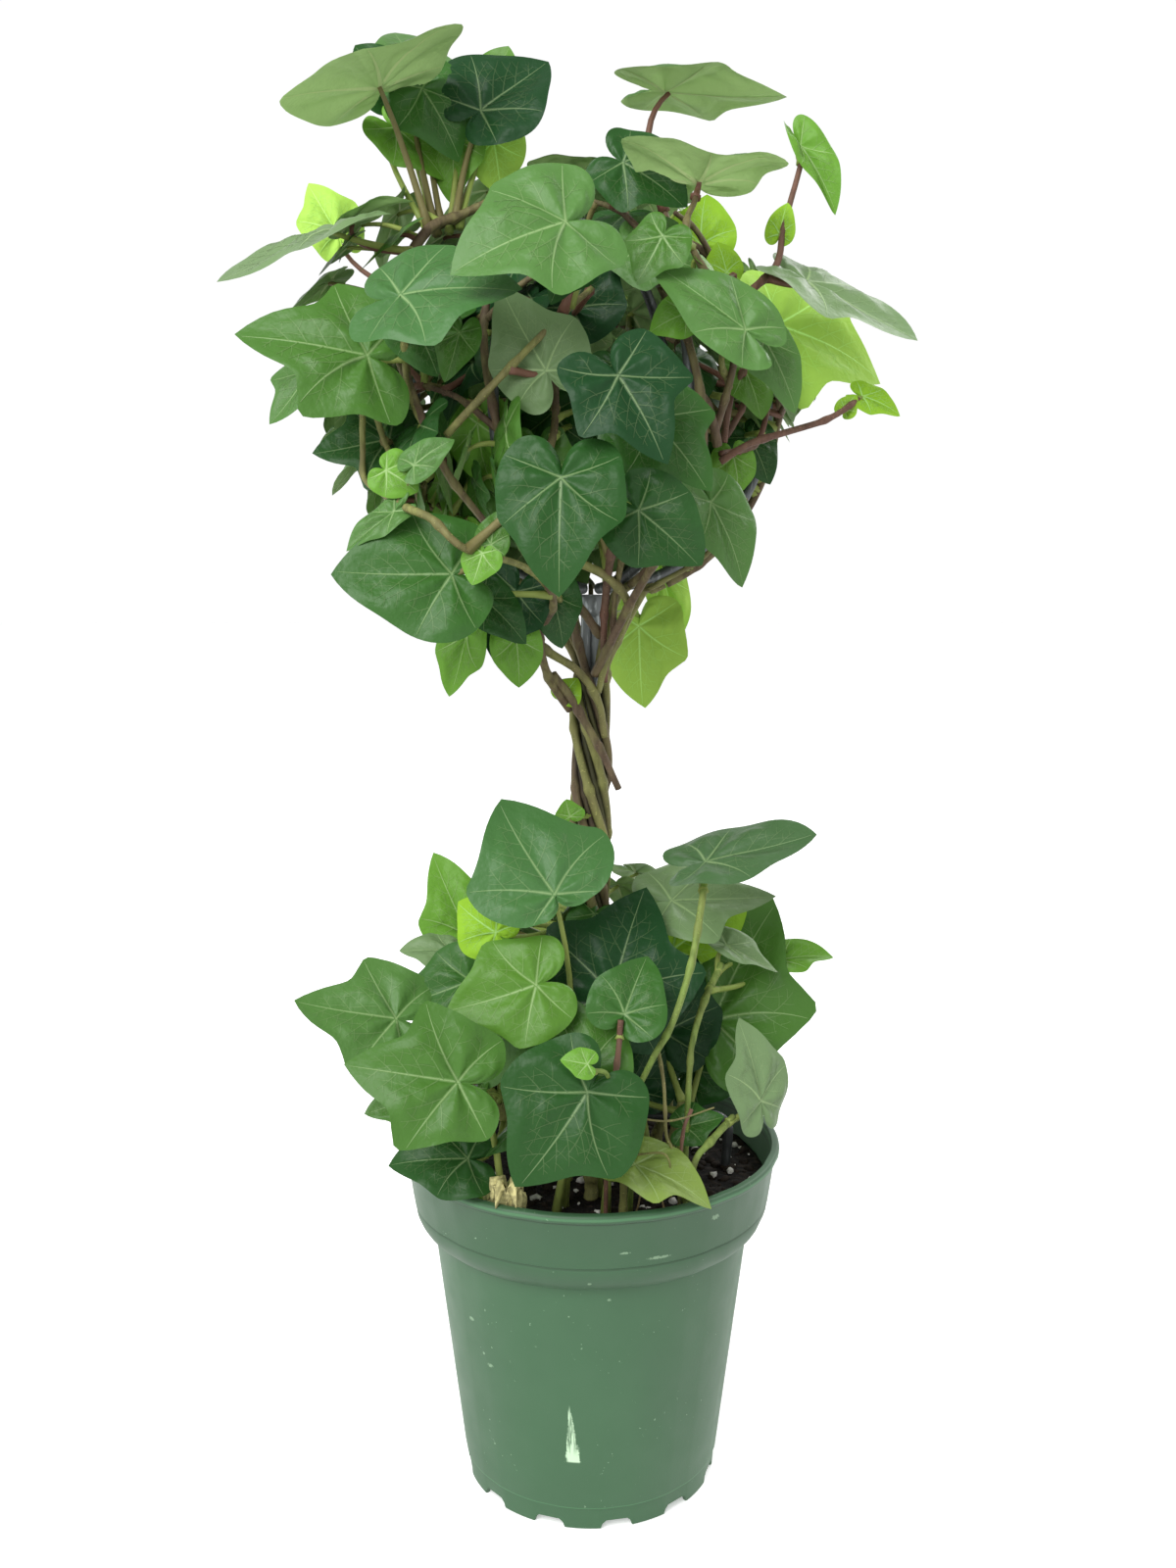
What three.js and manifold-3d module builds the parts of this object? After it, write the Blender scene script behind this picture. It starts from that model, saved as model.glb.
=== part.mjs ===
// A potted ivy trained as a globe on a stem: a moulded pot filled with soil, a wire frame on three
// legs, six ivy stems twined up the frame, leafy shoots over its globe and more round the foot.
// Millimetres, +Z up. The origin is the middle of the pot's underside, and the front faces -Y.

import * as THREE from "three";
import { mergeVertices } from "three/addons/utils/BufferGeometryUtils.js";
import Module from "manifold-3d";

const wasm = await Module();
wasm.setup();

// Clearance between neighbouring pieces.
const GAP = 0.3;

// Pot: a tapered body, a bevel, a collar with a rounded lip, and a notched foot ring.
const RIM_RADIUS = 57.15;
const POT_HEIGHT = 105;
const COLLAR_HEIGHT = 17;
const COLLAR_FOOT_RADIUS = 54;
const BEVEL_HEIGHT = 8;
const BODY_TOP_RADIUS = 48;
const FOOT_RADIUS = 38.4;
const WALL = 1.6;
const LIP_WIDTH = 2.6;
const LIP_ROUND = 0.8;
const FLOOR = 2;
const FLOOR_STEP = 1.5;
const PAD_RADIUS = 26;
const CHANNEL_HEIGHT = 4.6;
const NOTCHES = 12;
const NOTCH_WIDTH = 9;
const NOTCH_HEIGHT = 4;
const NOTCH_DEPTH = 4.8;
const POT_SIDES = 30;

// Soil, filled to a finger's width under the rim.
const SOIL_TOP = 95;

// Wire frame: a doubled rod on three legs, and a globe of six half hoops.
const WIRE_RADIUS = 1.5;
const WIRE_SIDES = 6;
const LEG_STEPS = 7;
const ROD_OFFSET = 1.4;
const LEG_HEIGHT = 16;
const LEG_REACH = 42;
const LEG_FOOT_REACH = 38;
const LEG_DEPTH = 45;
const LEG_BEND = 5;
const LEGS = 3;
const GLOBE_RADIUS = 50;
const GLOBE_HEIGHT = 320;
const HOOPS = 6;
const HOOP_END = 85;
const HOOP_STEPS = 9;
const WELD_RADIUS = 5.6;
const WELD_HEIGHT = 2.4;

// Twined stems, one to each half hoop.
const STEM_FOOT_RADIUS = 1.7;
const STEM_TIP_RADIUS = 1.2;
const STEM_SIDES = 5;
const STEM_STEPS = 20;
const ROOT_SPREAD = 13;
const ROOT_UPRIGHT = 4;
const TWINE_RADIUS = 5.2;
const TWINE_FOOT = 132;
const TWINE_TOP = 250;
const TWINE_TURN = 450;
const STEM_TIP = -66;
const STEM_FLARE = 4;

// Boughs over the globe, each with side twigs, and shoots round the foot.
const BOUGH_RADIUS = 53.05;
const BOUGH_TIP = 70;
const BOUGH_TIP_RADIUS = 0.8;
const BOUGH_SWAY = 5;
const BOUGH_WAVES = 2.5;
const BOUGH_STEPS = 9;
const BOUGH_SIDES = 3;
const BOUGH_JOINTS = 22;
const TWIGS = 4;
const TWIG_FIRST = -40;
const TWIG_STEP = 30;
const TWIG_SPREAD = 19;
const TWIG_RISE = 13;
const TWIG_WIDEN_LIMIT = 1.6;
const TWIG_LIFT = 4;
const TWIG_ARCH = 2;
const TWIG_RADIUS = 0.9;
const TWIG_TIP_RADIUS = 0.63;
const TWIG_SIDES = 3;
const TWIG_STEPS = 3;
const TWIG_JOINTS = 3;
const SHOOTS = 6;
const SHOOT_RADIUS = 24;
const SHOOT_LEAN = 7;
const SHOOT_HEIGHT = 26;
const SHOOT_UPRIGHT = 5;
const SHOOT_FOOT_RADIUS = 2.1;
const SHOOT_TIP_RADIUS = 1.3;
const SHOOT_STEPS = 4;
const SHOOT_JOINTS = 13;

// Leaves: the outline's radius at every 30 degrees from the tip round to the notch at the stalk.
const LEAF_OUTLINE = [1, 0.68, 0.8, 0.6, 0.62, 0.42, 0.14];
const LEAF_POINTS = 12;
const LEAF_THICKNESS = 1.6;
const LEAF_DROOP = 0.2;
const STALK_RADIUS = 0.7;
const STALK_TIP_RADIUS = 0.4;
const STALK_SIDES = 3;
const STALK_STEPS = 2;
const STALK_SINK = 4;
const STALK_BOW = 0.4;

// Leaves that lead the outline. Each row holds the point where the blade meets its stalk (x, y, z),
// the way its tip points in front view (degrees from +X towards +Z), how far the tip leans to the
// front, how far the upper face is turned up from the front, and the length from stalk to tip.
const GLOBE_LEADERS = [
  [-56, -15, 395, 118, 75, 180, 31],
  [-48, 6, 409, 110, -30, 20, 24],
  [-30, -5, 399, 52, -10, 25, 25],
  [-10, 10, 397, 8, 0, 75, 20],
  [22, -5, 401, -3, 5, 88, 33],
  [27, -40, 370, 22, 10, 85, 25],
  [55, -20, 383, -58, 10, 30, 19],
  [56, -30, 350, -28, 15, 62, 32],
  [-6, -75, 355, 200, 20, 25, 28],
  [-45, -68, 340, 8, 15, 45, 29],
  [-67, -25, 364, 204, 20, 74, 35],
  [-73, 15, 371, 115, 0, 20, 21],
  [-55, -55, 328, 165, 10, 25, 31],
  [-77, -10, 330, 232, 10, 40, 19],
  [-52, -40, 309, 188, 10, 30, 20],
  [6, -82, 320, -58, 20, 15, 23],
  [14, -68, 312, -48, 15, 20, 21],
  [-7, -86, 297, 268, 22, 5, 27],
  [11, -76, 290, -40, 5, -20, 21],
  [-34, -66, 275, 178, 10, 22, 31],
  [37, -62, 333, 141, 0, 25, 27],
  [43, -48, 333, -63, 10, 30, 19],
  [53, -10, 342, -25, 0, 20, 29],
  [30, -45, 294, -58, 10, 35, 23],
  [73, -20, 322, -20, 10, 30, 13],
  [17, 32, 262, 270, 0, 25, 24],
  [-33, -35, 259, 252, 0, 20, 18],
  [-20, -35, 258, 275, 5, 10, 14],
  [-11, -58, 324, 118, 0, 0, 22],
  [-28, -48, 269, -42, 10, 25, 16],
  [31, 5, 366, 85, 0, 10, 15],
  [17, -60, 355, -120, 10, 20, 13],
  [8, -35, 378, -32, 15, 15, 20],
];
const FOOT_LEADERS = [
  [-12, -35, 189, 128, -20, 20, 32],
  [32, -25, 193, 16, 5, 65, 30],
  [24, 0, 178, 6, 5, 60, 31],
  [58, 10, 157, 12, 0, 60, 17],
  [6, -27, 156, 72, -22, 10, 29],
  [9, -44, 158, 55, -22, 10, 17],
  [-56, -20, 148, 165, 10, 30, 28],
  [-35, -58, 141, 172, 10, 25, 34],
  [-1, -60, 141, 243, 18, 10, 30],
  [-15, -40, 164, 195, 10, 25, 26],
  [44, 0, 135, 62, -20, 15, 30],
  [49, -22, 124, 97, -5, 40, 24],
  [12, -46, 118, -14, 15, 70, 22],
  [-34, -42, 115, 175, 10, 45, 19],
  [-37, 8, 165, 112, 0, 10, 25],
  [-27, -22, 174, 140, 0, 10, 13],
  [-1, -46, 141, 115, -22, 10, 22],
  [-53, -15, 122, 195, 10, 40, 14],
];

// Leaves that fill the rest by rule: how many places are tried, and the shells that they stand in.
const CROWN_HEIGHT = 330;
const GLOBE_PLACES = 114;
const GLOBE_REACH = [58, 66, 78];
const FOOT_PLACES = 54;
const FOOT_REACH = [32, 46, 60];
const FOOT_LOW = 122;
const FOOT_RISE = 60;
const FOOT_DRAW_IN = 14;
const REACH_JITTER = 8;
const FRONT_LIMIT = -0.3;
const UNDER_LIMIT = -0.3;
const UNDER_TAPER = 0.28;
const LEAF_LENGTHS = [15, 30];

// How ruled leaves stand: the lift of their faces, the hang of their tips and the chance in each.
const GLOBE_LIFT = 0.75;
const UNDER_LIFT = 0.3;
const GLOBE_HANG = 1;
const FOOT_SLOPE = 0.2;
const FOOT_LIFT = 1;
const FOOT_HANG = 0.35;
const FACE_JITTER = 0.6;
const TIP_JITTER = 1.4;

const UP = new THREE.Vector3(0, 0, 1);
const FRONT = new THREE.Vector3(0, -1, 0);
const GOLDEN_ANGLE = 137.50776;

const PLASTIC = { color: 0x67806f, roughness: 0.55, metalness: 0 };
const SOIL = { color: 0x2a211b, roughness: 1, metalness: 0 };
const WIRE = { color: 0x6d6f6b, roughness: 0.5, metalness: 0.8 };
const BARK = { color: 0x7a7350, roughness: 0.8, metalness: 0 };
const FOLIAGE = { color: 0x4d7a45, roughness: 0.5, metalness: 0 };

const radians = THREE.MathUtils.degToRad;
const lerp = THREE.MathUtils.lerp;
const lerpRadius = THREE.MathUtils.mapLinear;

// A repeatable number from 0 to 1 for the k-th choice at the i-th place.
function noise(i, k) {
  const wave = Math.sin(i * 12.9898 + k * 78.233) * 43758.5453;
  return wave - Math.floor(wave);
}

// A point by its azimuth from +X, its distance from the axis and its height.
function around(azimuth, radius, height) {
  const angle = radians(azimuth);
  return new THREE.Vector3(radius * Math.cos(angle), radius * Math.sin(angle), height);
}

// A point on a sphere round the wire globe's centre, by azimuth and elevation.
function onGlobe(azimuth, elevation, radius) {
  const angle = radians(elevation);
  return around(azimuth, radius * Math.cos(angle), GLOBE_HEIGHT + radius * Math.sin(angle));
}

function solidOf(geometry) {
  const bare = geometry.clone();
  bare.deleteAttribute("normal");
  bare.deleteAttribute("uv");
  const merged = mergeVertices(bare, 1e-4);
  const vertProperties = new Float32Array(merged.attributes.position.array);
  const triVerts = new Uint32Array(merged.index.array);
  return new wasm.Manifold(new wasm.Mesh({ numProp: 3, vertProperties, triVerts }));
}

function geometryOf(solid) {
  const { vertProperties, triVerts } = solid.getMesh();
  const geometry = new THREE.BufferGeometry();
  geometry.setAttribute("position", new THREE.BufferAttribute(vertProperties, 3));
  geometry.setIndex(new THREE.BufferAttribute(triVerts, 1));
  geometry.computeVertexNormals();
  return geometry;
}

function meshOf(name, solid, finish) {
  const mesh = new THREE.Mesh(geometryOf(solid), new THREE.MeshStandardMaterial(finish));
  mesh.name = name;
  return mesh;
}

// A many-sided tube along a curve, tapering evenly from one radius to the other.
function limbSolid(curve, startRadius, endRadius, sides, steps) {
  const corners = [];
  for (let i = 0; i < sides; i++) {
    const angle = (2 * Math.PI * i) / sides;
    corners.push(new THREE.Vector2(Math.cos(angle), Math.sin(angle)));
  }
  const section = new THREE.Shape(corners);
  const geometry = new THREE.ExtrudeGeometry(section, { steps, extrudePath: curve, bevelEnabled: false });
  const centres = curve.getSpacedPoints(steps);
  const position = geometry.attributes.position;
  const vertex = new THREE.Vector3();
  for (let i = 0; i < position.count; i++) {
    vertex.fromBufferAttribute(position, i);
    const distances = centres.map((centre) => Math.abs(centre.distanceTo(vertex) - 1));
    const ring = distances.indexOf(Math.min(...distances));
    const radius = lerp(startRadius, endRadius, ring / steps);
    vertex.sub(centres[ring]).multiplyScalar(radius).add(centres[ring]);
    position.setXYZ(i, vertex.x, vertex.y, vertex.z);
  }
  return solidOf(geometry);
}

function smoothCurve(points) {
  return new THREE.CatmullRomCurve3(points);
}

// A profile of [radius, height] pairs turned about the upright axis.
function latheSolid(profile) {
  const points = profile.map(([radius, height]) => new THREE.Vector2(radius, height));
  const geometry = new THREE.LatheGeometry(points, POT_SIDES);
  geometry.rotateX(Math.PI / 2);
  return solidOf(geometry);
}

// The inner wall's radius at a height.
function innerRadius(height) {
  const bevelFoot = POT_HEIGHT - COLLAR_HEIGHT - BEVEL_HEIGHT;
  const collarFoot = POT_HEIGHT - COLLAR_HEIGHT;
  if (height <= bevelFoot) {
    return lerpRadius(height, 0, bevelFoot, FOOT_RADIUS, BODY_TOP_RADIUS) - WALL;
  }
  if (height <= collarFoot) {
    return lerpRadius(height, bevelFoot, collarFoot, BODY_TOP_RADIUS, COLLAR_FOOT_RADIUS) - WALL;
  }
  return lerpRadius(height, collarFoot, POT_HEIGHT, COLLAR_FOOT_RADIUS - WALL, RIM_RADIUS - LIP_WIDTH);
}

function potSolid() {
  const bevelFoot = POT_HEIGHT - COLLAR_HEIGHT - BEVEL_HEIGHT;
  const collarFoot = POT_HEIGHT - COLLAR_HEIGHT;
  const floorTop = CHANNEL_HEIGHT + FLOOR;
  const lipFoot = POT_HEIGHT - LIP_WIDTH;
  const profile = [
    [0, 0],
    [PAD_RADIUS, 0],
    [PAD_RADIUS + FLOOR_STEP, CHANNEL_HEIGHT],
    [FOOT_RADIUS - WALL, CHANNEL_HEIGHT],
    [FOOT_RADIUS - WALL, 0],
    [FOOT_RADIUS, 0],
    [BODY_TOP_RADIUS, bevelFoot],
    [COLLAR_FOOT_RADIUS, collarFoot],
    [RIM_RADIUS - LIP_ROUND, lipFoot],
    [RIM_RADIUS, lipFoot + LIP_ROUND],
    [RIM_RADIUS, POT_HEIGHT - LIP_ROUND],
    [RIM_RADIUS - LIP_ROUND, POT_HEIGHT],
    [innerRadius(POT_HEIGHT), POT_HEIGHT],
    [innerRadius(collarFoot), collarFoot],
    [innerRadius(bevelFoot), bevelFoot],
    [innerRadius(floorTop), floorTop],
    [PAD_RADIUS + FLOOR_STEP - FLOOR / 2, floorTop],
    [PAD_RADIUS - FLOOR / 2, FLOOR],
    [0, FLOOR],
  ];
  let pot = latheSolid(profile);
  for (let i = 0; i < NOTCHES; i++) {
    const box = new THREE.BoxGeometry(NOTCH_DEPTH, NOTCH_WIDTH, 2 * NOTCH_HEIGHT);
    box.translate(FOOT_RADIUS, 0, 0);
    box.rotateZ((2 * Math.PI * (i + 0.5)) / NOTCHES);
    pot = pot.subtract(solidOf(box));
  }
  return pot;
}

// A leg: out from the rod under the foliage, then down deep into the soil.
function legCurve(index) {
  const azimuth = (360 * index) / LEGS;
  const height = SOIL_TOP + LEG_HEIGHT;
  const path = new THREE.CurvePath();
  const elbow = around(azimuth, LEG_REACH - LEG_BEND, height);
  const knee = around(azimuth, LEG_REACH, height - LEG_BEND);
  path.add(new THREE.LineCurve3(around(azimuth, 0, height), elbow));
  path.add(new THREE.QuadraticBezierCurve3(elbow, around(azimuth, LEG_REACH, height), knee));
  path.add(new THREE.LineCurve3(knee, around(azimuth, LEG_FOOT_REACH, SOIL_TOP - LEG_DEPTH)));
  return path;
}

function soilSolid(legs) {
  const collarFoot = POT_HEIGHT - COLLAR_HEIGHT;
  const bevelFoot = collarFoot - BEVEL_HEIGHT;
  const floorTop = CHANNEL_HEIGHT + FLOOR + GAP;
  const stepFoot = PAD_RADIUS - FLOOR / 2 - GAP;
  const profile = [
    [0, FLOOR + GAP],
    [stepFoot, FLOOR + GAP],
    [stepFoot + FLOOR_STEP, floorTop],
    [innerRadius(floorTop) - GAP, floorTop],
    [innerRadius(bevelFoot) - GAP, bevelFoot],
    [innerRadius(collarFoot) - GAP, collarFoot],
    [innerRadius(SOIL_TOP) - GAP, SOIL_TOP],
    [0, SOIL_TOP],
  ];
  return legs.reduce((soil, leg) => soil.subtract(leg), latheSolid(profile));
}

// The doubled rod, its legs and the weld that the hoops meet at.
function standSolid() {
  const weldTop = onGlobe(0, -HOOP_END, GLOBE_RADIUS).z - WIRE_RADIUS - GAP;
  const rodFoot = SOIL_TOP + LEG_HEIGHT - WIRE_RADIUS;
  const pieces = [];
  for (const side of [-1, 1]) {
    const rod = new THREE.CylinderGeometry(WIRE_RADIUS, WIRE_RADIUS, weldTop - rodFoot, WIRE_SIDES);
    rod.rotateX(Math.PI / 2);
    rod.translate(side * ROD_OFFSET, 0, (weldTop + rodFoot) / 2);
    pieces.push(solidOf(rod));
  }
  const weld = new THREE.CylinderGeometry(WELD_RADIUS, WELD_RADIUS, WELD_HEIGHT, 2 * WIRE_SIDES);
  weld.rotateX(Math.PI / 2);
  weld.translate(0, 0, weldTop - WELD_HEIGHT / 2);
  pieces.push(solidOf(weld));
  for (let i = 0; i < LEGS; i++) {
    pieces.push(limbSolid(legCurve(i), WIRE_RADIUS, WIRE_RADIUS, WIRE_SIDES, LEG_STEPS));
  }
  return wasm.Manifold.union(pieces);
}

function hoopSolid(azimuth) {
  const points = [];
  for (let i = 0; i <= HOOP_STEPS; i++) {
    points.push(onGlobe(azimuth, lerp(-HOOP_END, HOOP_END, i / HOOP_STEPS), GLOBE_RADIUS));
  }
  return limbSolid(smoothCurve(points), WIRE_RADIUS, WIRE_RADIUS, WIRE_SIDES, HOOP_STEPS);
}

// A stem rises from the soil, leans in to the rod, winds round it and spreads out under its hoop.
function stemSolid(azimuth) {
  const foot = SOIL_TOP + GAP;
  const footAzimuth = azimuth + TWINE_TURN;
  const points = [
    around(footAzimuth, ROOT_SPREAD, foot),
    around(footAzimuth, ROOT_SPREAD, foot + ROOT_UPRIGHT),
    around(footAzimuth, (ROOT_SPREAD + TWINE_RADIUS) / 2, (foot + TWINE_FOOT) / 2),
  ];
  const winds = STEM_STEPS / 2;
  for (let i = 0; i <= winds; i++) {
    const turn = TWINE_TURN * (1 - i / winds);
    points.push(around(azimuth + turn, TWINE_RADIUS, lerp(TWINE_FOOT, TWINE_TOP, i / winds)));
  }
  for (const elevation of [STEM_TIP - 2 * STEM_FLARE, STEM_TIP - STEM_FLARE, STEM_TIP]) {
    points.push(onGlobe(azimuth, elevation, BOUGH_RADIUS));
  }
  return limbSolid(smoothCurve(points), STEM_FOOT_RADIUS, STEM_TIP_RADIUS, STEM_SIDES, STEM_STEPS);
}

// A mass grows on one limb. Its joints are the points on the limb that still have no stalk.
function makeMass(name, limb) {
  return { name, pieces: [limb], blades: [], joints: [] };
}

// A bough carries on from its stem's tip over the globe, with side twigs left and right in turn.
function boughMass(index) {
  const azimuth = (360 * index) / HOOPS;
  const start = STEM_TIP + THREE.MathUtils.radToDeg(GAP / BOUGH_RADIUS);
  const place = (elevation) => {
    const sway = BOUGH_SWAY * Math.sin(radians((elevation - start) * BOUGH_WAVES));
    return onGlobe(azimuth + sway, elevation, BOUGH_RADIUS);
  };
  const points = [];
  for (let i = 0; i <= BOUGH_STEPS; i++) {
    points.push(place(lerp(start, BOUGH_TIP, i / BOUGH_STEPS)));
  }
  const curve = smoothCurve(points);
  const bough = limbSolid(curve, STEM_TIP_RADIUS, BOUGH_TIP_RADIUS, BOUGH_SIDES, BOUGH_STEPS);
  const mass = makeMass(`crown_${index + 1}`, pieceOf(bough));
  mass.joints.push(...curve.getSpacedPoints(BOUGH_JOINTS).slice(1));
  for (let i = 0; i < TWIGS; i++) {
    const elevation = TWIG_FIRST + TWIG_STEP * i;
    const side = i % 2 === 0 ? 1 : -1;
    const root = place(elevation);
    const widen = Math.min(1 / Math.cos(radians(elevation)), TWIG_WIDEN_LIMIT);
    const tipAzimuth = azimuth + side * TWIG_SPREAD * widen;
    const tip = onGlobe(tipAzimuth, elevation + TWIG_RISE, BOUGH_RADIUS + TWIG_LIFT);
    const middle = root.clone().lerp(tip, 0.5).addScaledVector(UP, TWIG_ARCH);
    const twig = smoothCurve([root, middle, tip]);
    mass.pieces.push(pieceOf(limbSolid(twig, TWIG_RADIUS, TWIG_TIP_RADIUS, TWIG_SIDES, TWIG_STEPS)));
    mass.joints.push(...twig.getSpacedPoints(TWIG_JOINTS).slice(1));
  }
  return mass;
}

// A short shoot stands out of the soil, leaning away from the stem.
function shootMass(index) {
  const azimuth = (360 * (index + 0.5)) / SHOOTS;
  const foot = SOIL_TOP + GAP;
  const points = [
    around(azimuth, SHOOT_RADIUS, foot),
    around(azimuth, SHOOT_RADIUS, foot + SHOOT_UPRIGHT),
    around(azimuth, SHOOT_RADIUS + SHOOT_LEAN / 2, foot + SHOOT_HEIGHT / 2),
    around(azimuth, SHOOT_RADIUS + SHOOT_LEAN, foot + SHOOT_HEIGHT),
  ];
  const curve = smoothCurve(points);
  const shoot = limbSolid(curve, SHOOT_FOOT_RADIUS, SHOOT_TIP_RADIUS, BOUGH_SIDES, SHOOT_STEPS);
  const mass = makeMass(`skirt_${index + 1}`, pieceOf(shoot));
  mass.joints.push(...curve.getSpacedPoints(SHOOT_JOINTS).slice(2));
  return mass;
}

// The blade: a flattened ball whose equator is drawn out to the leaf's outline and droops to its rim.
function bladeGeometry(length) {
  const geometry = new THREE.SphereGeometry(1, LEAF_POINTS, 2);
  const position = geometry.attributes.position;
  for (let i = 0; i < position.count; i++) {
    const pole = position.getY(i);
    if (Math.abs(pole) > 0.5) {
      position.setXYZ(i, 0, 0, (Math.sign(pole) * LEAF_THICKNESS) / 2);
      continue;
    }
    const angle = Math.atan2(-position.getZ(i), position.getX(i));
    const step = Math.round((Math.abs(angle) * LEAF_POINTS) / (2 * Math.PI));
    const radius = LEAF_OUTLINE[step];
    const sag = -LEAF_DROOP * length * radius * radius;
    position.setXYZ(i, length * radius * Math.cos(angle), length * radius * Math.sin(angle), sag);
  }
  return geometry;
}

function bladeSolid(leaf) {
  const across = leaf.normal.clone().cross(leaf.tip);
  const blade = bladeGeometry(leaf.length);
  blade.applyMatrix4(new THREE.Matrix4().makeBasis(leaf.tip, across, leaf.normal).setPosition(leaf.point));
  return solidOf(blade);
}

// A leaf's stalk springs from a joint of the limb and comes up behind the blade.
function stalkSolid(leaf, joint) {
  const behind = leaf.normal.clone().add(leaf.tip).normalize();
  const bow = STALK_BOW * joint.distanceTo(leaf.point);
  const control = leaf.point.clone().addScaledVector(behind, -bow);
  const end = leaf.point.clone().addScaledVector(leaf.tip, STALK_SINK);
  end.addScaledVector(leaf.normal, -LEAF_DROOP * STALK_SINK);
  const curve = new THREE.QuadraticBezierCurve3(joint, control, end);
  return limbSolid(curve, STALK_RADIUS, STALK_TIP_RADIUS, STALK_SIDES, STALK_STEPS);
}

// Turns a leader's row into a leaf with its own axes.
function leaderLeaf([x, y, z, clock, lean, face, length]) {
  const level = Math.cos(radians(lean));
  const tip = new THREE.Vector3(
    level * Math.cos(radians(clock)), -Math.sin(radians(lean)), level * Math.sin(radians(clock)),
  );
  const facing = FRONT.clone().addScaledVector(tip, -tip.dot(FRONT)).normalize();
  const raised = tip.clone().cross(facing);
  if (raised.z < 0) {
    raised.negate();
  }
  const normal = facing.multiplyScalar(Math.cos(radians(face)));
  normal.addScaledVector(raised, Math.sin(radians(face)));
  return { point: new THREE.Vector3(x, y, z), tip, normal, length };
}

// A leaf that faces outwards and up from its place, with its tip hanging, all a little at random.
function ruledLeaf(i, point, outward, lift, hang) {
  const jitter = new THREE.Vector3(noise(i, 3) - 0.5, noise(i, 4) - 0.5, noise(i, 5) - 0.5);
  const normal = outward.clone().addScaledVector(UP, lift).addScaledVector(jitter, FACE_JITTER).normalize();
  const tip = outward.clone().addScaledVector(UP, -hang).addScaledVector(jitter, TIP_JITTER);
  tip.addScaledVector(normal, -tip.dot(normal)).normalize();
  const length = lerp(LEAF_LENGTHS[0], LEAF_LENGTHS[1], noise(i, 6));
  return { point, tip, normal, length };
}

// Places spread evenly over a globe; the front keeps to the inner shells, behind the leaders.
function globePlace(i) {
  const height = 1 - (2 * (i + 0.5)) / GLOBE_PLACES;
  const level = Math.sqrt(1 - height * height);
  const outward = around(GOLDEN_ANGLE * i, level, height);
  const shell = outward.y < FRONT_LIMIT ? 0 : i % GLOBE_REACH.length;
  const taper = 1 - UNDER_TAPER * Math.max(0, -outward.z);
  const reach = taper * (GLOBE_REACH[shell] + REACH_JITTER * (noise(i, 1) - 0.5));
  const point = outward.clone().multiplyScalar(reach);
  point.z += CROWN_HEIGHT;
  const lift = outward.z < UNDER_LIMIT ? UNDER_LIFT : GLOBE_LIFT;
  return ruledLeaf(i, point, outward, lift, GLOBE_HANG);
}

// Places spread round the foot, the higher ones standing nearer the stem.
function footPlace(i) {
  const azimuth = GOLDEN_ANGLE * i;
  const outward = around(azimuth, 1, FOOT_SLOPE).normalize();
  const shell = outward.y < FRONT_LIMIT ? 0 : i % FOOT_REACH.length;
  const rise = noise(i, 2);
  const reach = FOOT_REACH[shell] + REACH_JITTER * (noise(i, 1) - 0.5) - FOOT_DRAW_IN * rise * rise;
  const point = around(azimuth, reach, FOOT_LOW + FOOT_RISE * rise);
  return ruledLeaf(i + GLOBE_PLACES, point, outward, FOOT_LIFT, FOOT_HANG);
}

function pieceOf(solid) {
  const { min, max } = solid.boundingBox();
  const box = new THREE.Box3(new THREE.Vector3(...min), new THREE.Vector3(...max));
  return { solid, box: box.expandByScalar(GAP) };
}

function isClear(piece, others) {
  return others.every(
    (other) => !piece.box.intersectsBox(other.box) || piece.solid.minGap(other.solid, 2 * GAP) > GAP,
  );
}

function nearestJoint(mass, point) {
  const reach = (joint) => joint.distanceTo(point) + Math.max(0, joint.z - point.z);
  return mass.joints.reduce((best, joint) => (reach(joint) < reach(best) ? joint : best));
}

// Grows a leaf on the nearest mass where it touches no limb and no other mass, or else leaves it out.
// A leader's blade may lie over blades of its own mass; one placed by rule touches no other blade.
function growLeaf(leaf, masses, limbs, leads) {
  const span = (mass) => nearestJoint(mass, leaf.point).distanceTo(leaf.point);
  const nearest = [...masses].sort((a, b) => span(a) - span(b)).slice(0, 2);
  const blade = pieceOf(bladeSolid(leaf));
  for (const mass of nearest) {
    const joint = nearestJoint(mass, leaf.point);
    const stalk = pieceOf(stalkSolid(leaf, joint));
    const others = masses.filter((other) => other !== mass).flatMap((other) => other.pieces);
    const siblings = leads ? [] : mass.blades;
    const obstacles = [...limbs, ...others];
    if (isClear(blade, [...obstacles, ...siblings]) && isClear(stalk, obstacles)) {
      mass.pieces.push(blade, stalk);
      mass.blades.push(blade);
      mass.joints.splice(mass.joints.indexOf(joint), 1);
      return;
    }
  }
}

// Fuses a mass and keeps its one whole body.
function massSolid(mass) {
  const whole = wasm.Manifold.union(mass.pieces.map((piece) => piece.solid));
  const bodies = whole.decompose().sort((a, b) => b.volume() - a.volume());
  return bodies[0];
}

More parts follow.
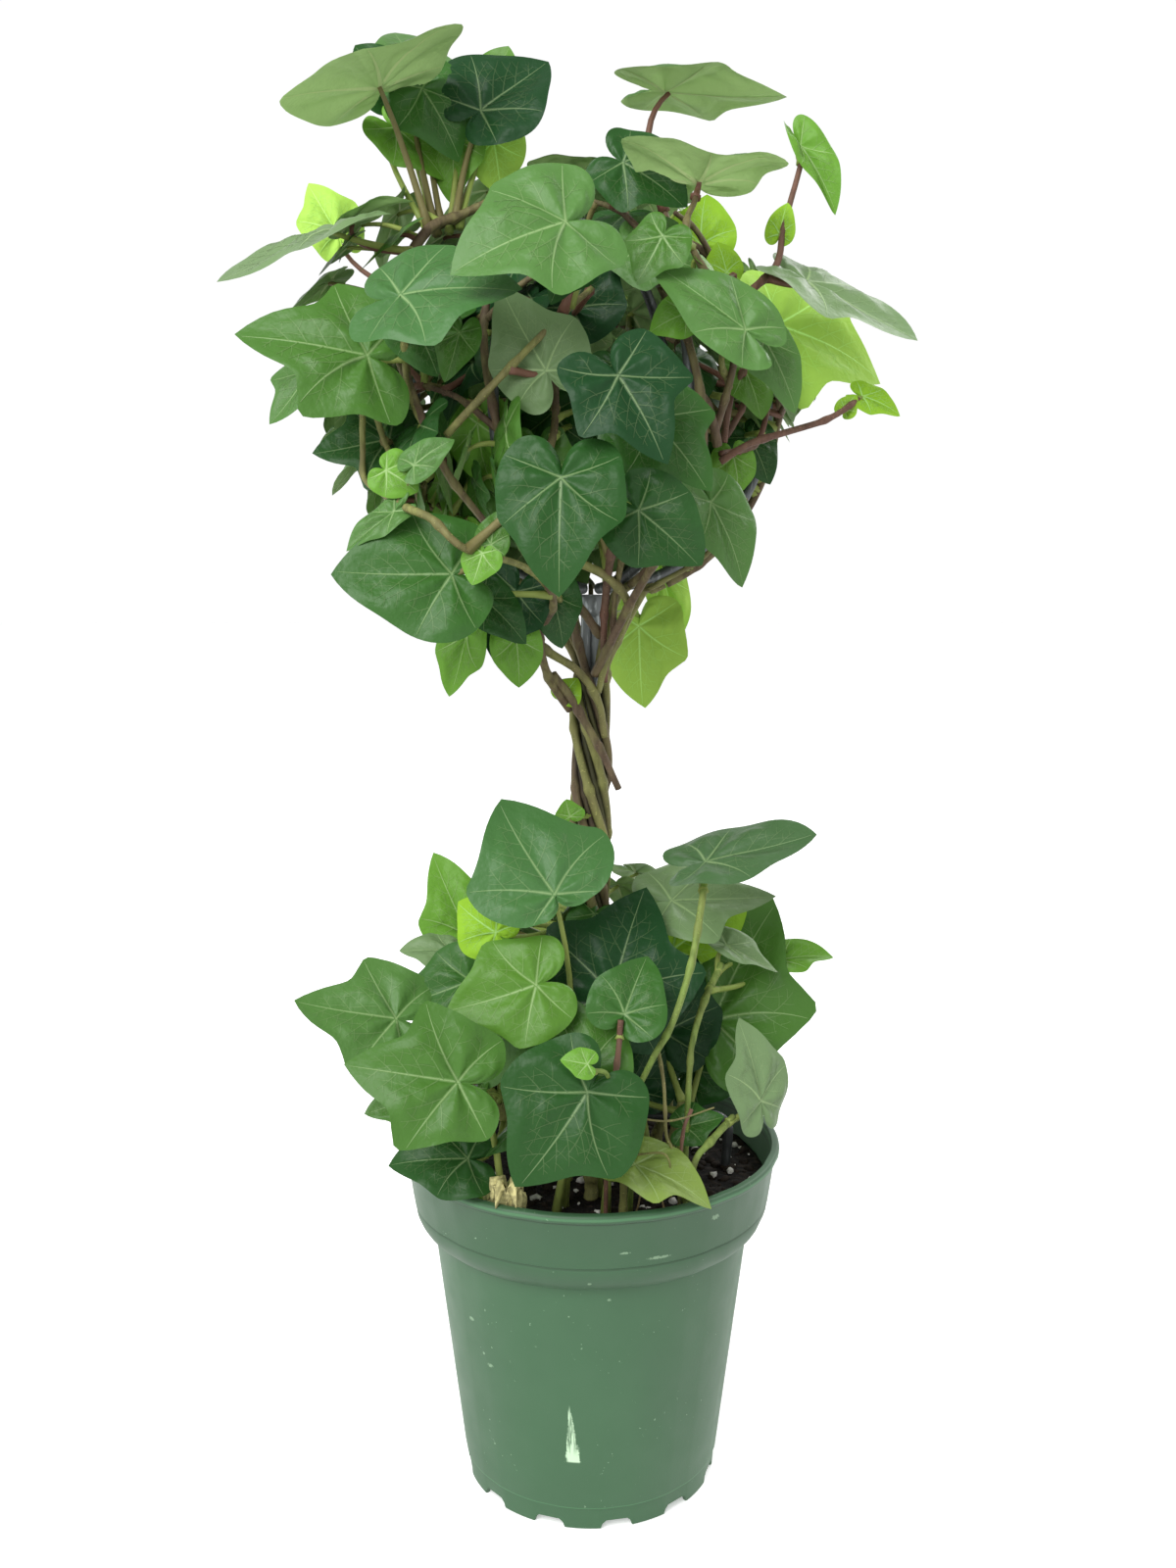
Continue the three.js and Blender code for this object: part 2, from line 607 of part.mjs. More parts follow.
function buildPlant() {
  const legBores = [];
  for (let i = 0; i < LEGS; i++) {
    const bore = WIRE_RADIUS + GAP / Math.cos(Math.PI / WIRE_SIDES);
    legBores.push(limbSolid(legCurve(i), bore, bore, WIRE_SIDES, LEG_STEPS));
  }
  const potted = new THREE.Group();
  const frame = new THREE.Group();
  const stems = new THREE.Group();
  const limbs = [];
  const addLimb = (group, name, solid, finish) => {
    group.add(meshOf(name, solid, finish));
    limbs.push(pieceOf(solid));
  };
  addLimb(potted, "pot", potSolid(), PLASTIC);
  addLimb(potted, "soil", soilSolid(legBores), SOIL);
  addLimb(frame, "wire_stand", standSolid(), WIRE);
  for (let i = 0; i < HOOPS; i++) {
    const azimuth = (360 * i) / HOOPS;
    addLimb(frame, `wire_hoop_${i + 1}`, hoopSolid(azimuth), WIRE);
    addLimb(stems, `stem_${i + 1}`, stemSolid(azimuth), BARK);
  }

  const boughs = Array.from({ length: HOOPS }, (_, i) => boughMass(i));
  const shoots = Array.from({ length: SHOOTS }, (_, i) => shootMass(i));
  const masses = [...boughs, ...shoots];
  for (const row of GLOBE_LEADERS) {
    growLeaf(leaderLeaf(row), boughs, limbs, true);
  }
  for (const row of FOOT_LEADERS) {
    growLeaf(leaderLeaf(row), shoots, limbs, true);
  }
  for (let i = 0; i < GLOBE_PLACES; i++) {
    growLeaf(globePlace(i), boughs, limbs, false);
  }
  for (let i = 0; i < FOOT_PLACES; i++) {
    growLeaf(footPlace(i), shoots, limbs, false);
  }
  const foliage = new THREE.Group();
  for (const mass of masses) {
    foliage.add(meshOf(mass.name, massSolid(mass), FOLIAGE));
  }

  const plant = new THREE.Group();
  plant.add(potted, frame, stems, foliage);
  return plant;
}

export default buildPlant();
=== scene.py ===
import math

import bpy
import numpy as np
from bpy.props import FloatProperty, FloatVectorProperty, IntProperty, PointerProperty
from bpy.types import Operator, Panel, PropertyGroup
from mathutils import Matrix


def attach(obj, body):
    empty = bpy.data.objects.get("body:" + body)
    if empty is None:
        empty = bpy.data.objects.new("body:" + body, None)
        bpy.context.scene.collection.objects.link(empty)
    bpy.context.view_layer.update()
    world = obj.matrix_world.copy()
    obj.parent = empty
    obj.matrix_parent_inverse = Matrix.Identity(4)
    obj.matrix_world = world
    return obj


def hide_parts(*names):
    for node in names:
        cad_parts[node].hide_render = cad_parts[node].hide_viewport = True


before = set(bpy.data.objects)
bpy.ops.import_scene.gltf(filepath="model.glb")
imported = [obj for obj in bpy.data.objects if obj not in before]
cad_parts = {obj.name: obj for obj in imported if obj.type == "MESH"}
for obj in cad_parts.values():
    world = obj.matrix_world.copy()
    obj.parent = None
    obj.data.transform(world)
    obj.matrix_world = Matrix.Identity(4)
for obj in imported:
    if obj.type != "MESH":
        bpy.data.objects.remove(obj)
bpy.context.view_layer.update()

# A potted ivy trained as a globe on a twined stem. The shapes are worked out in millimetres, in the
# solids' own frame: +Z up, the front towards -Y, the origin in the middle of the pot's underside.

bl_info = {
    "name": "Ivy globe",
    "version": (1, 0, 0),
    "blender": (4, 5, 0),
    "location": "View3D > Sidebar > Ivy",
    "description": "Builds a potted ivy trained as a globe on a twined stem",
    "category": "Add Mesh",
}

MM = 0.001
UP = np.array((0.0, 0.0, 1.0))
FRONT = np.array((0.0, -1.0, 0.0))
BACK = np.array((0.0, 1.0, 0.0))
TINY = 1e-6
GOLDEN_ANGLE = 137.50776

# The steep sine behind each chance: its turn from place to place and from choice to choice, and its height.
CHANCE_PLACE = 12.9898
CHANCE_CHOICE = 78.233
CHANCE_HEIGHT = 43758.5453

# The pot's notches: the turn of the first one, the lean of its edges and how far each column is cut.
NOTCH_TURN = -108.6
NOTCH_EDGE = 0.4
NOTCH_CUT = (0, 0.6, 0.95, 0.95, 0.6, 0)
POT_FLOOR = 2.0

# The soil: how deep and how narrow its base is, its husk and its rootlets.
SOIL_DEPTH = 12.0
SOIL_DRAW_IN = 0.97
HUSK_BLADES = 9
HUSK_ROOT = (-23, -45)
HUSK_WIDTH = 2.3
HUSK_OVAL = (1.0, 0.3, 1.0, 0.3, 1.0, 0.3)
ROOTLETS = 5
ROOTLET_RADIUS = 0.3
ROOTLET_SWING = 9.0

# The wire globe and its stand.
GLOBE_HEIGHT = 320.0
HOOPS = 6
HOOP_END = 85.0
WIRE_SIDES = 16
WELD_HALF = 3.0
WELD_GAP = 0.3
LEG_STEPS = 12
LEG_TURNS = (0.0, 120.0, 240.0)

# The limbs. A pair of radii holds at a limb's foot and at its tip, bare is how many points at its foot
# carry no stalk, and a stretch is the part of a thin stem that carries stalks.
BOUGH_RADIUS = 53.05
BOUGH_TIP = 70.0
BOUGH_SWAY = 5.0
BOUGH_WAVES = 2.5
STEM_TIP = -66.0
STRAND_INSET = 1.2
STRAND_CLIMB = 36.0
STRANDS = {"olive": (0, 2, 3, 5), "brown": (1,)}
TWIGS = 4
TWIG_FIRST = -40.0
TWIG_STEP = 30.0
TWIG_SPREAD = 19.0
TWIG_RISE = 13.0
TWIG_WIDEN_LIMIT = 1.6
TWIG_LIFT = 4.0
TWIG_ARCH = 2.0
SHOOTS = 6
SHOOT_REACH = np.array((24.0, 24.0, 27.5, 31.0))
SHOOT_HEIGHT = np.array((95.3, 100.3, 108.3, 121.3))
STEM_FOOT = 95.3
STEM_BARKS = ("olive", "brown", "olive", "olive", "brown", "olive")
STEM_STEPS = 260
STEM_SIDES = 12
STEM_SWAY = 0.35
STRAND_RADII = (1.2, 0.7)
STRAND_JOINTS = 120
HEAD_STRETCH = slice(80, None)
SKIRT_STRETCH = slice(20, 80)
BOUGH_RADII = (1.25, 0.85)
BOUGH_BARE = 4
TWIG_RADII = (0.95, 0.65)
SHOOT_RADII = (2.1, 1.3)
SHOOT_BARE = 6
VINE_TAPER = np.array((1.1, 0.8))
VINE_STEPS = 60
VINE_BARE = 10
VINE_MARKS = 12

# Leaves that lead the outline. Each row holds the point where the blade meets its stalk (x, y, z), the
# way its tip points in front view (degrees from +X towards +Z), how far the tip leans to the front, how
# far the upper face is turned up from the front, the length, how deep the lobes are cut, the width over
# that of a plain leaf, how steeply both halves fold up from the midrib, and the tint.
GLOBE_LEADERS = (
    (-56, -15, 402, 114, 84, 180, 31, 0.5, 1.25, 0.22, "raised"),
    (-48, 6, 411, 110, -30, 20, 24, 0.2, 0.9, 0.05, "leaf"),
    (-30, -5, 399, 40, -10, 25, 24, 0.0, 1.1, 0.35, "deep"),
    (-10, 10, 386, 8, 0, 105, 20, 0.5, 0.9, 0.1, "raised"),
    (20, -5, 404, -3, 5, 95, 33, 0.7, 0.9, 0.1, "raised"),
    (27, -40, 372, 85, 78, 180, 27, 0.7, 1.15, 0.45, "raised"),
    (55, -20, 386, -58, 10, 30, 19, 0.1, 0.5, 0.5, "spring"),
    (56, -30, 350, -28, 15, 62, 32, 0.5, 0.8, 0.1, "sage"),
    (-6, -75, 355, 200, 20, 25, 28, 0.5, 1.05, 0.1, "leaf"),
    (-45, -68, 340, 8, 15, 45, 29, 0.6, 1.0, 0.1, "cool"),
    (-67, -25, 364, 204, 20, 74, 35, 0.5, 0.8, 0.05, "sage"),
    (-73, 15, 371, 115, 0, 20, 18, 0.4, 0.8, 0.05, "backlit"),
    (-55, -55, 328, 165, 10, 25, 31, 0.9, 1.0, 0.05, "mid"),
    (-77, -10, 330, 232, 10, 40, 19, 0.8, 0.9, 0.1, "leaf"),
    (-52, -40, 309, 188, 10, 30, 20, 0.9, 1.0, 0.1, "dark"),
    (6, -82, 320, -58, 20, 15, 23, 0.9, 1.05, 0.12, "deep"),
    (14, -68, 312, -48, 15, 20, 23, 0.9, 0.95, 0.05, "green"),
    (-7, -86, 297, 268, 22, 5, 26, 0.35, 0.95, 0.1, "dark"),
    (11, -76, 290, -40, 5, 0, 20, 0.2, 0.9, 0.3, "dark"),
    (-34, -66, 275, 178, 10, 22, 29, 0.05, 0.9, 0.08, "green"),
    (37, -62, 333, 141, 0, 25, 27, 0.1, 0.6, 0.1, "leaf"),
    (43, -48, 333, -63, 10, 30, 19, 0.2, 0.7, 0.1, "leaf"),
    (51, -10, 342, -20, 0, 30, 35, 0.9, 1.0, 0.0, "backlit"),
    (30.5, -45, 293, -62, 10, 35, 22, 0.2, 0.75, 0.2, "leaf"),
    (73, -20, 322, -20, 10, 30, 11, 0.3, 0.7, 0.2, "lime"),
    (15, 32, 258, 270, 0, 25, 26, 0.5, 1.0, 0.05, "backlit"),
    (-33, -35, 259, 252, 0, 20, 18, 0.3, 0.6, 0.2, "spring"),
    (-20, -35, 258, 275, 5, 10, 14, 0.1, 0.8, 0.1, "spring"),
    (-11, -58, 324, 118, 0, 0, 22, 0.3, 0.9, 0.05, "sage"),
    (-28, -48, 269, -42, 10, 25, 16, 0.1, 0.7, 0.1, "dark"),
    (31, 5, 366, 85, 0, 10, 15, 0.1, 1.0, 0.05, "lime"),
    (17, -60, 355, -120, 10, 20, 13, 0.5, 1.0, 0.1, "mid"),
    (8, -35, 378, -32, 15, 15, 20, 0.5, 0.9, 0.05, "dark"),
    (-50, -62, 300, -30, 10, 15, 9, 0.0, 1.1, 0.0, "spring"),
    (-43, -64, 301, 38, 10, 25, 11, 0.0, 0.7, 0.1, "leaf"),
    (-24, -72, 282, 80, 5, 15, 8, 0.0, 0.9, 0.1, "mid"),
    (-26, -72, 280, 250, 10, 20, 8, 0.0, 1.0, 0.0, "spring"),
    (-44, -52, 336, 300, 10, 20, 13, 0.0, 1.0, 0.05, "green"),
    (-32, -58, 333, 250, 10, 20, 12, 0.0, 0.8, 0.1, "mid"),
    (36, -20, 354, 100, 0, 20, 9, 0.1, 0.9, 0.05, "lime"),
    (24, -50, 339, 200, 10, 25, 11, 0.1, 0.9, 0.05, "spring"),
    (-3, -62, 351, 235, 10, 20, 14, 0.3, 0.8, 0.05, "dark"),
    (-64, -22, 366, 30, 10, 100, 19, 0.2, 0.4, 0.1, "mid"),
    (-46, -4, 405, -60, 10, 20, 22, 0.3, 0.9, 0.15, "green"),
    (-54, 0, 396, -38, 5, 30, 19, 0.3, 0.8, 0.1, "spring"),
    (-27, 2, 393, -80, 0, 10, 13, 0.0, 1.1, 0.05, "backlit"),
    (-38, 0, 394, -95, 0, 15, 17, 0.2, 0.9, 0.1, "spring"),
    (40, -30, 328, -65, 10, 25, 14, 0.1, 0.8, 0.1, "fresh"),
    (44, -8, 312, -60, 10, 25, 14, 0.1, 0.9, 0.1, "dark"),
    (38, -25, 306, -80, 10, 15, 11, 0.0, 0.9, 0.1, "spring"),
    (-7.5, -9, 240, 60, 0, 25, 6, 0.0, 1.3, 0.1, "lime"),
    (48, -25, 330, -62, 10, 30, 16, 0.1, 0.5, 0.2, "sage"),
    (-48, -64, 290, 214, 10, 35, 15, 0.2, 0.5, 0.15, "leaf"),
    (49, -28, 362, 80, 5, 20, 8, 0.0, 0.8, 0.2, "lime"),
    (68, -22, 318, 55, 5, 20, 5, 0.0, 1.0, 0.1, "lime"),
    (12, -32, 358, -20, 10, 25, 18, 0.5, 1.0, 0.05, "leaf"),
    (-5, -30, 343, 60, 0, 15, 20, 0.3, 1.0, 0.05, "deep"),
    (22, 36, 274, -72, 0, 20, 24, 0.1, 0.5, 0.2, "backlit"),
    (-20, -32, 270, 248, 10, 20, 19, 0.4, 0.9, 0.1, "deep"),
    (-11, -28, 270, 286, 5, 20, 15, 0.2, 0.9, 0.1, "dark"),
    (-55, 6, 408, 128, 5, 20, 15, 0.0, 1.1, 0.2, "dark"),
    (-29, 8, 407, 66, 5, 20, 14, 0.0, 1.1, 0.2, "fresh"),
)
FOOT_LEADERS = (
    (-10, -35, 188, 120, -20, 20, 30, -1.0, 1.12, 0.05, "cool"),
    (32, -25, 195, 16, 5, 72, 31, 0.0, 0.75, 0.15, "blue"),
    (24, 0, 178, 6, 5, 60, 31, 0.8, 0.9, 0.1, "sage"),
    (58, 10, 157, 12, 0, 60, 17, 0.4, 0.7, 0.25, "spring"),
    (6, -27, 157, 72, -22, 10, 36, 0.9, 1.0, 0.05, "deep"),
    (9, -44, 157, 66, -22, 10, 17, 0.1, 1.05, 0.3, "green"),
    (-56, -20, 148, 165, 10, 42, 29, 0.7, 0.95, 0.1, "leaf"),
    (-35, -58, 143, 166, 10, 25, 31, 0.9, 0.95, 0.1, "mid"),
    (-1, -60, 141, 230, 18, 10, 31, 0.35, 1.0, 0.05, "dark"),
    (-15, -40, 164, 195, 10, 25, 26, 0.5, 0.95, 0.1, "fresh"),
    (37, 0, 141, 62, -20, 20, 43, 0.9, 0.95, 0.05, "mid"),
    (49, -22, 124, 97, -5, 40, 25, 0.4, 0.7, 0.1, "sage"),
    (12, -46, 115, -14, 15, 70, 24, 0.6, 0.8, 0.2, "olive"),
    (-34, -42, 115, 175, 10, 45, 21, 0.2, 0.9, 0.1, "dark"),
    (-37, 8, 165, 112, 0, 10, 26, 0.4, 0.8, 0.05, "spring"),
    (-27, -22, 174, 140, 0, 10, 14, 0.0, 1.1, 0.05, "lime"),
    (-1, -46, 141, 115, -22, 10, 24, 0.3, 0.9, 0.05, "mid"),
    (-53, -15, 122, 195, 10, 40, 14, 0.3, 0.8, 0.1, "mid"),
    (25, 8, 161, 30, 0, 10, 25, 0.1, 0.9, 0.05, "lime"),
    (40, -6, 166, -25, 10, 60, 17, 0.3, 0.6, 0.3, "sage"),
    (-6, -9, 205, 100, 0, 15, 5, 0.0, 1.4, 0.05, "spring"),
    (27, -24, 117, 20, 10, 50, 12, 0.4, 0.9, 0.1, "green"),
    (20, -30, 104, 150, 10, 40, 8, 0.0, 0.9, 0.1, "spring"),
    (-30, -40, 101, 60, 10, 40, 5, 0.0, 1.0, 0.1, "lime"),
    (22, -2, 138, 78, -12, 10, 27, 0.5, 1.0, 0.05, "deep"),
    (30, 4, 124, 40, -5, 15, 24, 0.4, 0.9, 0.1, "dark"),
    (12, -8, 122, 100, -10, 10, 24, 0.3, 1.0, 0.05, "deep"),
    (-1, -64, 150, 165, 5, 40, 7, 0.2, 1.0, 0.2, "spring"),
    (-35, -12, 157, 196, 5, 25, 22, 0.3, 0.9, 0.1, "green"),
    (-42, 2, 162, 170, 5, 62, 16, 0.2, 0.7, 0.1, "sage"),
)

# Where the stalks of some leaves start, by the leaf's row: at a bundle under the top of the head, and at
# the soil.
HEAD_FEET = {
    0: (-44, -10, 367), 1: (-41, -6, 369), 2: (-37, -8, 370), 43: (-42, -8, 366), 44: (-45, -7, 368),
    45: (-36, -7, 368), 46: (-39, -6, 367), 60: (-43, -5, 368), 61: (-38, -5, 369),
}
SKIRT_FEET = {
    0: (-8, -28, 94), 1: (31, -31, 188), 2: (20, -14, 94), 4: (2, -20, 94), 5: (7.6, -47, 151),
    7: (-25, -40, 94), 8: (4, -34, 94), 9: (-10, -32, 94), 10: (24, -12, 94), 11: (39, -26, 119),
    12: (10, -43.5, 117), 19: (37, -14, 160), 27: (1, -62, 147),
}

# Leaves that fill the rest by rule: how many places there are, the reach of the shells they stand in, the
# least and largest length, the seed, the tints dealt out, and how the ones at the sides are turned.
LEAF_LENGTHS = (15.0, 30.0)
INNER_LENGTHS = (11.0, 20.0)
OUTER_TINTS = ("dark", "green", "green", "mid", "mid", "leaf", "spring", "mid")
# Painted shade: the inner shells of the head get the darkest tints, for leaves deep inside it.
INNER_PAINTED_SHADE_TINTS = ("deep", "deep", "deep", "dark", "dark", "dark", "green", "green")
FOOT_OUTER_TINTS = ("dark", "green", "green", "mid", "leaf", "spring", "mid")
# Painted shade: the inner shells of the foot get the darkest tints, for leaves deep inside the skirt.
FOOT_INNER_PAINTED_SHADE_TINTS = ("deep", "deep", "dark", "dark", "green")
FLANK_TURN = np.array((3.0, 0.4, 1.0))
FOOT_SEED = 114
GLOBE_OUTER = (114, (58.0, 66.0, 78.0), LEAF_LENGTHS, 0, OUTER_TINTS)
GLOBE_INNER = (170, (44.0, 52.0, 60.0), INNER_LENGTHS, 500, INNER_PAINTED_SHADE_TINTS)
GLOBE_FLANK = (400, (72.0, 62.0, 76.0), INNER_LENGTHS, 900, OUTER_TINTS, FLANK_TURN)
FOOT_OUTER = (54, (32.0, 46.0, 60.0), LEAF_LENGTHS, FOOT_SEED, FOOT_OUTER_TINTS)
FOOT_INNER = (40, (16.0, 26.0, 40.0), INNER_LENGTHS, 700, FOOT_INNER_PAINTED_SHADE_TINTS)
FOOT_FLANK = (150, (46.0, 34.0, 52.0), INNER_LENGTHS, 1400, FOOT_OUTER_TINTS, FLANK_TURN)

# Where the sky shows through the head and beside the skirt: x and z in the plane of the stem, and half the
# width.
SKY_DRAW_IN = np.array((0.55, 1.0, 1.0))
HEAD_SKY = ((38, 393, 11), (46, 368, 7), (59, 363, 7), (68, 319, 10), (56, 305, 7))
SKIRT_SKY = ((63, 117, 9),)

# How far ruled leaves are jittered, drawn in and tapered, and which of them are left out. A blade's middle
# lies at a share of its length from the stalk.
CROWN_HEIGHT = 330.0
FLANK_FRONT = 40.0
FLANK_ASIDE = 20.0
FLANK_TOP = 350.0
FLANK_PEAK = 380.0
FLANK_ROOM = 0.17
VINE_ROOM = 5.0
FOOT_LOW = 122.0
FOOT_RISE = 60.0
FOOT_DRAW_IN = 14.0
OPEN_SOIL = (4.0, -6.0)
REACH_JITTER = 8.0
FRONT_LIMIT = -0.3
UNDER_LIMIT = -0.3
UNDER_TAPER = 0.28
SIDE_TAPER = 0.4
TOP_TAPER = 3.0
TOP_START = 0.9
LEAF_THICKNESS = 0.45
SPACING = 0.5
MIDDLE = 0.3
FULL_TURN = 6.28
VIEW_ROOM = 0.42
COVER_ROOM = 0.4
PIERCE_ALONG = 0.8
PIERCE_ASIDE = 0.7
PIERCE_REACH = 0.75

# The stalks: their grid, radius, bow and how far they reach under the blade. Their colours are dealt out by
# chance: 0 pale, 1 olive, 2 red, 3 brown.
STALK_STEPS = 10
STALK_SIDES = 6
STALK_RADIUS = 0.62
STALK_GROWTH = 0.012
STALK_BOW = 0.4
STALK_TUCK = 1.2
YOUNG_TINTS = ("lime", "spring", "backlit")
YOUNG_SHARE = 0.7
HEAD_DEAL = (1, 1, 2, 3, 3)
SKIRT_DEAL = (0, 1, 1, 1, 1, 3)

# Vines that show in front of the head: the points they pass through, the radius and the bark.
VINES = (
    (((-36, -54, 309), (-21, -62, 323), (-7, -54, 338), (0, -42, 346)), 0.9, "olive"),
    (((34, -32, 304), (43, -34, 309), (62, -28, 315), (72, -21, 321)), 0.9, "red"),
    (((-51, -40, 334), (-43, -49, 315), (-36, -55, 300), (-27, -50, 288)), 1.1, "brown"),
    (((-45, -66, 291), (-38, -72, 288), (-30, -72, 281), (-16, -50, 276), (-4, -14, 262)), 0.95, "olive"),
    (((32, -34, 309), (36, -44, 334), (24, -48, 357), (26, -42, 368)), 0.9, "brown"),
    (((40, -34, 346), (48, -30, 354), (50, -28, 364), (55, -22, 381)), 0.9, "red"),
    (((1, -9, 246), (10, -20, 265), (17, -33, 278), (22, -43, 288)), 1.15, "brown"),
    (((-6, -8, 236), (-12, -14, 246), (-14, -24, 258), (-10, -38, 268), (-16, -48, 280)), 1.15, "brown"),
    (((-11, -13, 246.5), (-6, -10.5, 240), (-2, -9.8, 233), (3, -9.5, 224), (8, -8, 213)), 1.2, "brown"),
    (((-52, -22, 352), (-44, -14, 366), (-36, -8, 371), (-26, -6, 376)), 1.4, "brown"),
    (((20, -36, 334), (27, -38, 346), (24, -20, 358), (20, -8, 372)), 1.1, "brown"),
    (((-4, -24, 278), (4, -24, 274), (10, -20, 267), (9, -14, 260), (4.5, -10, 251), (2, -9, 241)),
     1.15, "olive"),
    (((-12, -30, 275), (-7, -24, 270), (-2, -16, 264), (2.5, -10, 257)), 1.4, "brown"),
    (((6, -36, 285), (4.5, -22, 273), (3.5, -13, 260), (4, -8, 244)), 1.1, "red"),
    (((10, -32, 286), (7, -20, 271), (6, -10, 255)), 0.9, "brown"),
    (((-24, -30, 270), (-14, -17, 255), (-4, -11, 247.5), (2, -9.5, 238.5), (4, -8, 228)), 1.2, "olive"),
    (((-45, -58, 339), (-46, -54, 331), (-46, -48, 321), (-42, -50, 311)), 0.8, "olive"),
    (((-57.5, -48, 315), (-58, -46, 306), (-57, -48, 298), (-47, -62, 292)), 0.75, "olive"),
    (((-54, -48, 314), (-52, -46, 307), (-48, -50, 302), (-40, -56, 304)), 0.75, "olive"),
    (((33, -34, 308), (31, -38, 315), (27, -42, 321), (20, -46, 325)), 1.2, "brown"),
    (((35, -30, 309), (36, -30, 317), (37.5, -30, 323), (41, -34, 329)), 0.9, "red"),
    (((36, -26, 311), (40, -24, 318), (44, -22, 327)), 0.9, "red"),
    (((34, -32, 306), (44, -22, 309), (47.5, -20, 318), (47, -22, 324)), 0.8, "red"),
    (((37, -30, 322), (33, -44, 327), (33, -46, 332), (30, -50, 336)), 0.8, "olive"),
    (((-15, -50, 300), (-10, -48, 308), (-9, -46, 318), (-10, -40, 330)), 1.0, "brown"),
)

# Stalks and shoots that show in front of the skirt, in the same way.
SKIRT_VINES = (
    (((31.5, -29, 191), (30, -34, 183), (27, -40, 169), (22, -43, 154), (16, -42, 142), (12, -38, 128),
      (11, -33, 94)), 0.95, "green"),
    (((38, -12, 162), (32.5, -20, 153), (29, -26, 144), (28, -26, 134), (27, -24, 94)), 0.95, "green"),
    (((8, -46, 156), (7.3, -47, 147), (6, -47, 138), (4.5, -45, 131), (4, -42, 94)), 0.75, "red"),
    (((41, -24, 120), (34, -32, 116), (29, -36, 111), (26, -38, 94)), 1.0, "green"),
    (((18, -24, 146), (20, -34, 136), (20.5, -38, 128), (21, -38, 120), (23, -38, 114), (25.5, -38, 94)),
     0.5, "olive"),
    (((10.5, -42, 136), (10, -43, 125), (10, -44, 116)), 0.55, "olive"),
    (((28, -36, 127), (25.5, -37, 119), (24.5, -37, 94)), 0.5, "red"),
    (((8, -43, 141), (9.7, -42, 128), (9.2, -40, 119), (9, -38, 94)), 1.25, "olive"),
    (((0, -63, 148), (4, -60, 146), (4.8, -54, 139), (4.5, -45, 131)), 0.6, "green"),
    (((12, -44, 117), (20, -46, 118), (21, -46, 112), (13, -45, 108)), 0.28, "olive"),
    (((11, -42, 127), (22, -42, 126), (34, -40, 129)), 0.28, "olive"),
)


def unit(vectors):
    """Each vector over its own length."""
    return vectors / np.linalg.norm(vectors, axis=-1, keepdims=True)


def chance(i, k):
    """A repeatable number from 0 to 1 for the k-th choice at place i: the fraction of a steep sine."""
    wave = np.sin(np.asarray(i) * CHANCE_PLACE + k * CHANCE_CHOICE) * CHANCE_HEIGHT
    return wave - np.floor(wave)


def by_chance(i, k, base, spread):
    """A size dealt out by the k-th chance at place i: a base and up to a spread more."""
    return base + spread * chance(i, k)


def around(azimuth, radius, height):
    """Points by their azimuth from +X in degrees, their distance from the upright axis and height."""
    angle = np.radians(azimuth)
    parts = np.broadcast_arrays(radius * np.cos(angle), radius * np.sin(angle), height)
    return np.stack(parts, -1)


def on_globe(azimuth, elevation, radius):
    """Points on a sphere round the wire globe's centre, by azimuth and elevation in degrees."""
    angle = np.radians(elevation)
    return around(azimuth, radius * np.cos(angle), GLOBE_HEIGHT + radius * np.sin(angle))


def lumps(places, size, seed):
    """Smooth noise from -1 to 1: random heights on a grid of the given size, blended between corners."""
    scaled = np.asarray(places) / size
    cell = np.floor(scaled)
    part = scaled - cell
    part = part * part * (3 - 2 * part)
    total = 0.0
    for corner in range(8):
        step = np.array((corner & 1, corner >> 1 & 1, corner >> 2))
        weight = np.prod(np.where(step, part, 1 - part), axis=-1)
        index = (cell + step) @ np.array((1.0, 57.0, 113.0))
        total = total + weight * chance(index, seed)
    return 2 * total - 1


def smooth_path(points, count):
    """A curve through points: between each pair a cubic, whose slope at a point is half the step
    between that point's two neighbours."""
    inner = np.asarray(points, float)
    p = np.concatenate((2 * inner[:1] - inner[1:2], inner, 2 * inner[-1:] - inner[-2:-1]))
    t = np.linspace(0, len(inner) - 1, count)
    i = np.minimum(t.astype(int), len(inner) - 2)
    f = (t - i)[:, None]
    a, b, c, d = p[i], p[i + 1], p[i + 2], p[i + 3]
    return b + 0.5 * f * (c - a + f * (2 * a - 5 * b + 4 * c - d + f * (3 * (b - c) + d - a)))


def grid_faces(rows, columns):
    """The quads of a grid of points that wraps round its columns."""
    i = np.arange(rows - 1)[:, None] * columns
    j = np.arange(columns)[None, :]
    k = (j + 1) % columns
    return np.stack((i + j, i + k, i + columns + k, i + columns + j), -1).reshape(-1, 4)


def fan_faces(pole, first, count):
    """The triangles from a pole to each pair of neighbours in a ring, whose points start at first."""
    j = np.arange(count)
    return np.stack((np.full(count, pole), first + j, first + (j + 1) % count), -1)


def repeat_faces(faces, count, points):
    """The same faces for each of a row of like shapes, that many points apart."""
    return (faces[None] + np.arange(count)[:, None, None] * points).reshape(-1, faces.shape[1])


def tube(paths, radius, sides, across):
    """Rings of points carried along paths. A ring stands square to its path, starts from the direction
    square to both the path and across, and has the radius given at that point."""
    along = unit(np.gradient(paths, axis=-2))
    first = unit(np.cross(across, along))
    second = np.cross(along, first)
    turn = 2 * np.pi * np.arange(sides) / sides
    ring = np.cos(turn)[:, None] * first[..., None, :] + np.sin(turn)[:, None] * second[..., None, :]
    return paths[..., None, :] + radius[..., None] * ring


def tube_faces(steps, sides, count=1):
    """The wall and the two end caps of each of a row of tubes."""
    caps = np.stack((np.arange(sides)[::-1], (steps - 1) * sides + np.arange(sides)))
    points = steps * sides
    return [repeat_faces(grid_faces(steps, sides), count, points), repeat_faces(caps, count, points)]


def rod(shape, path, radius, sides, across):
    """A tube along one path, closed at both ends, with one radius or one for each point of the path."""
    thick = np.broadcast_to(np.reshape(radius, (-1, 1)), (len(path), sides))
    shape.add(tube(path, thick, sides, across), tube_faces(len(path), sides))


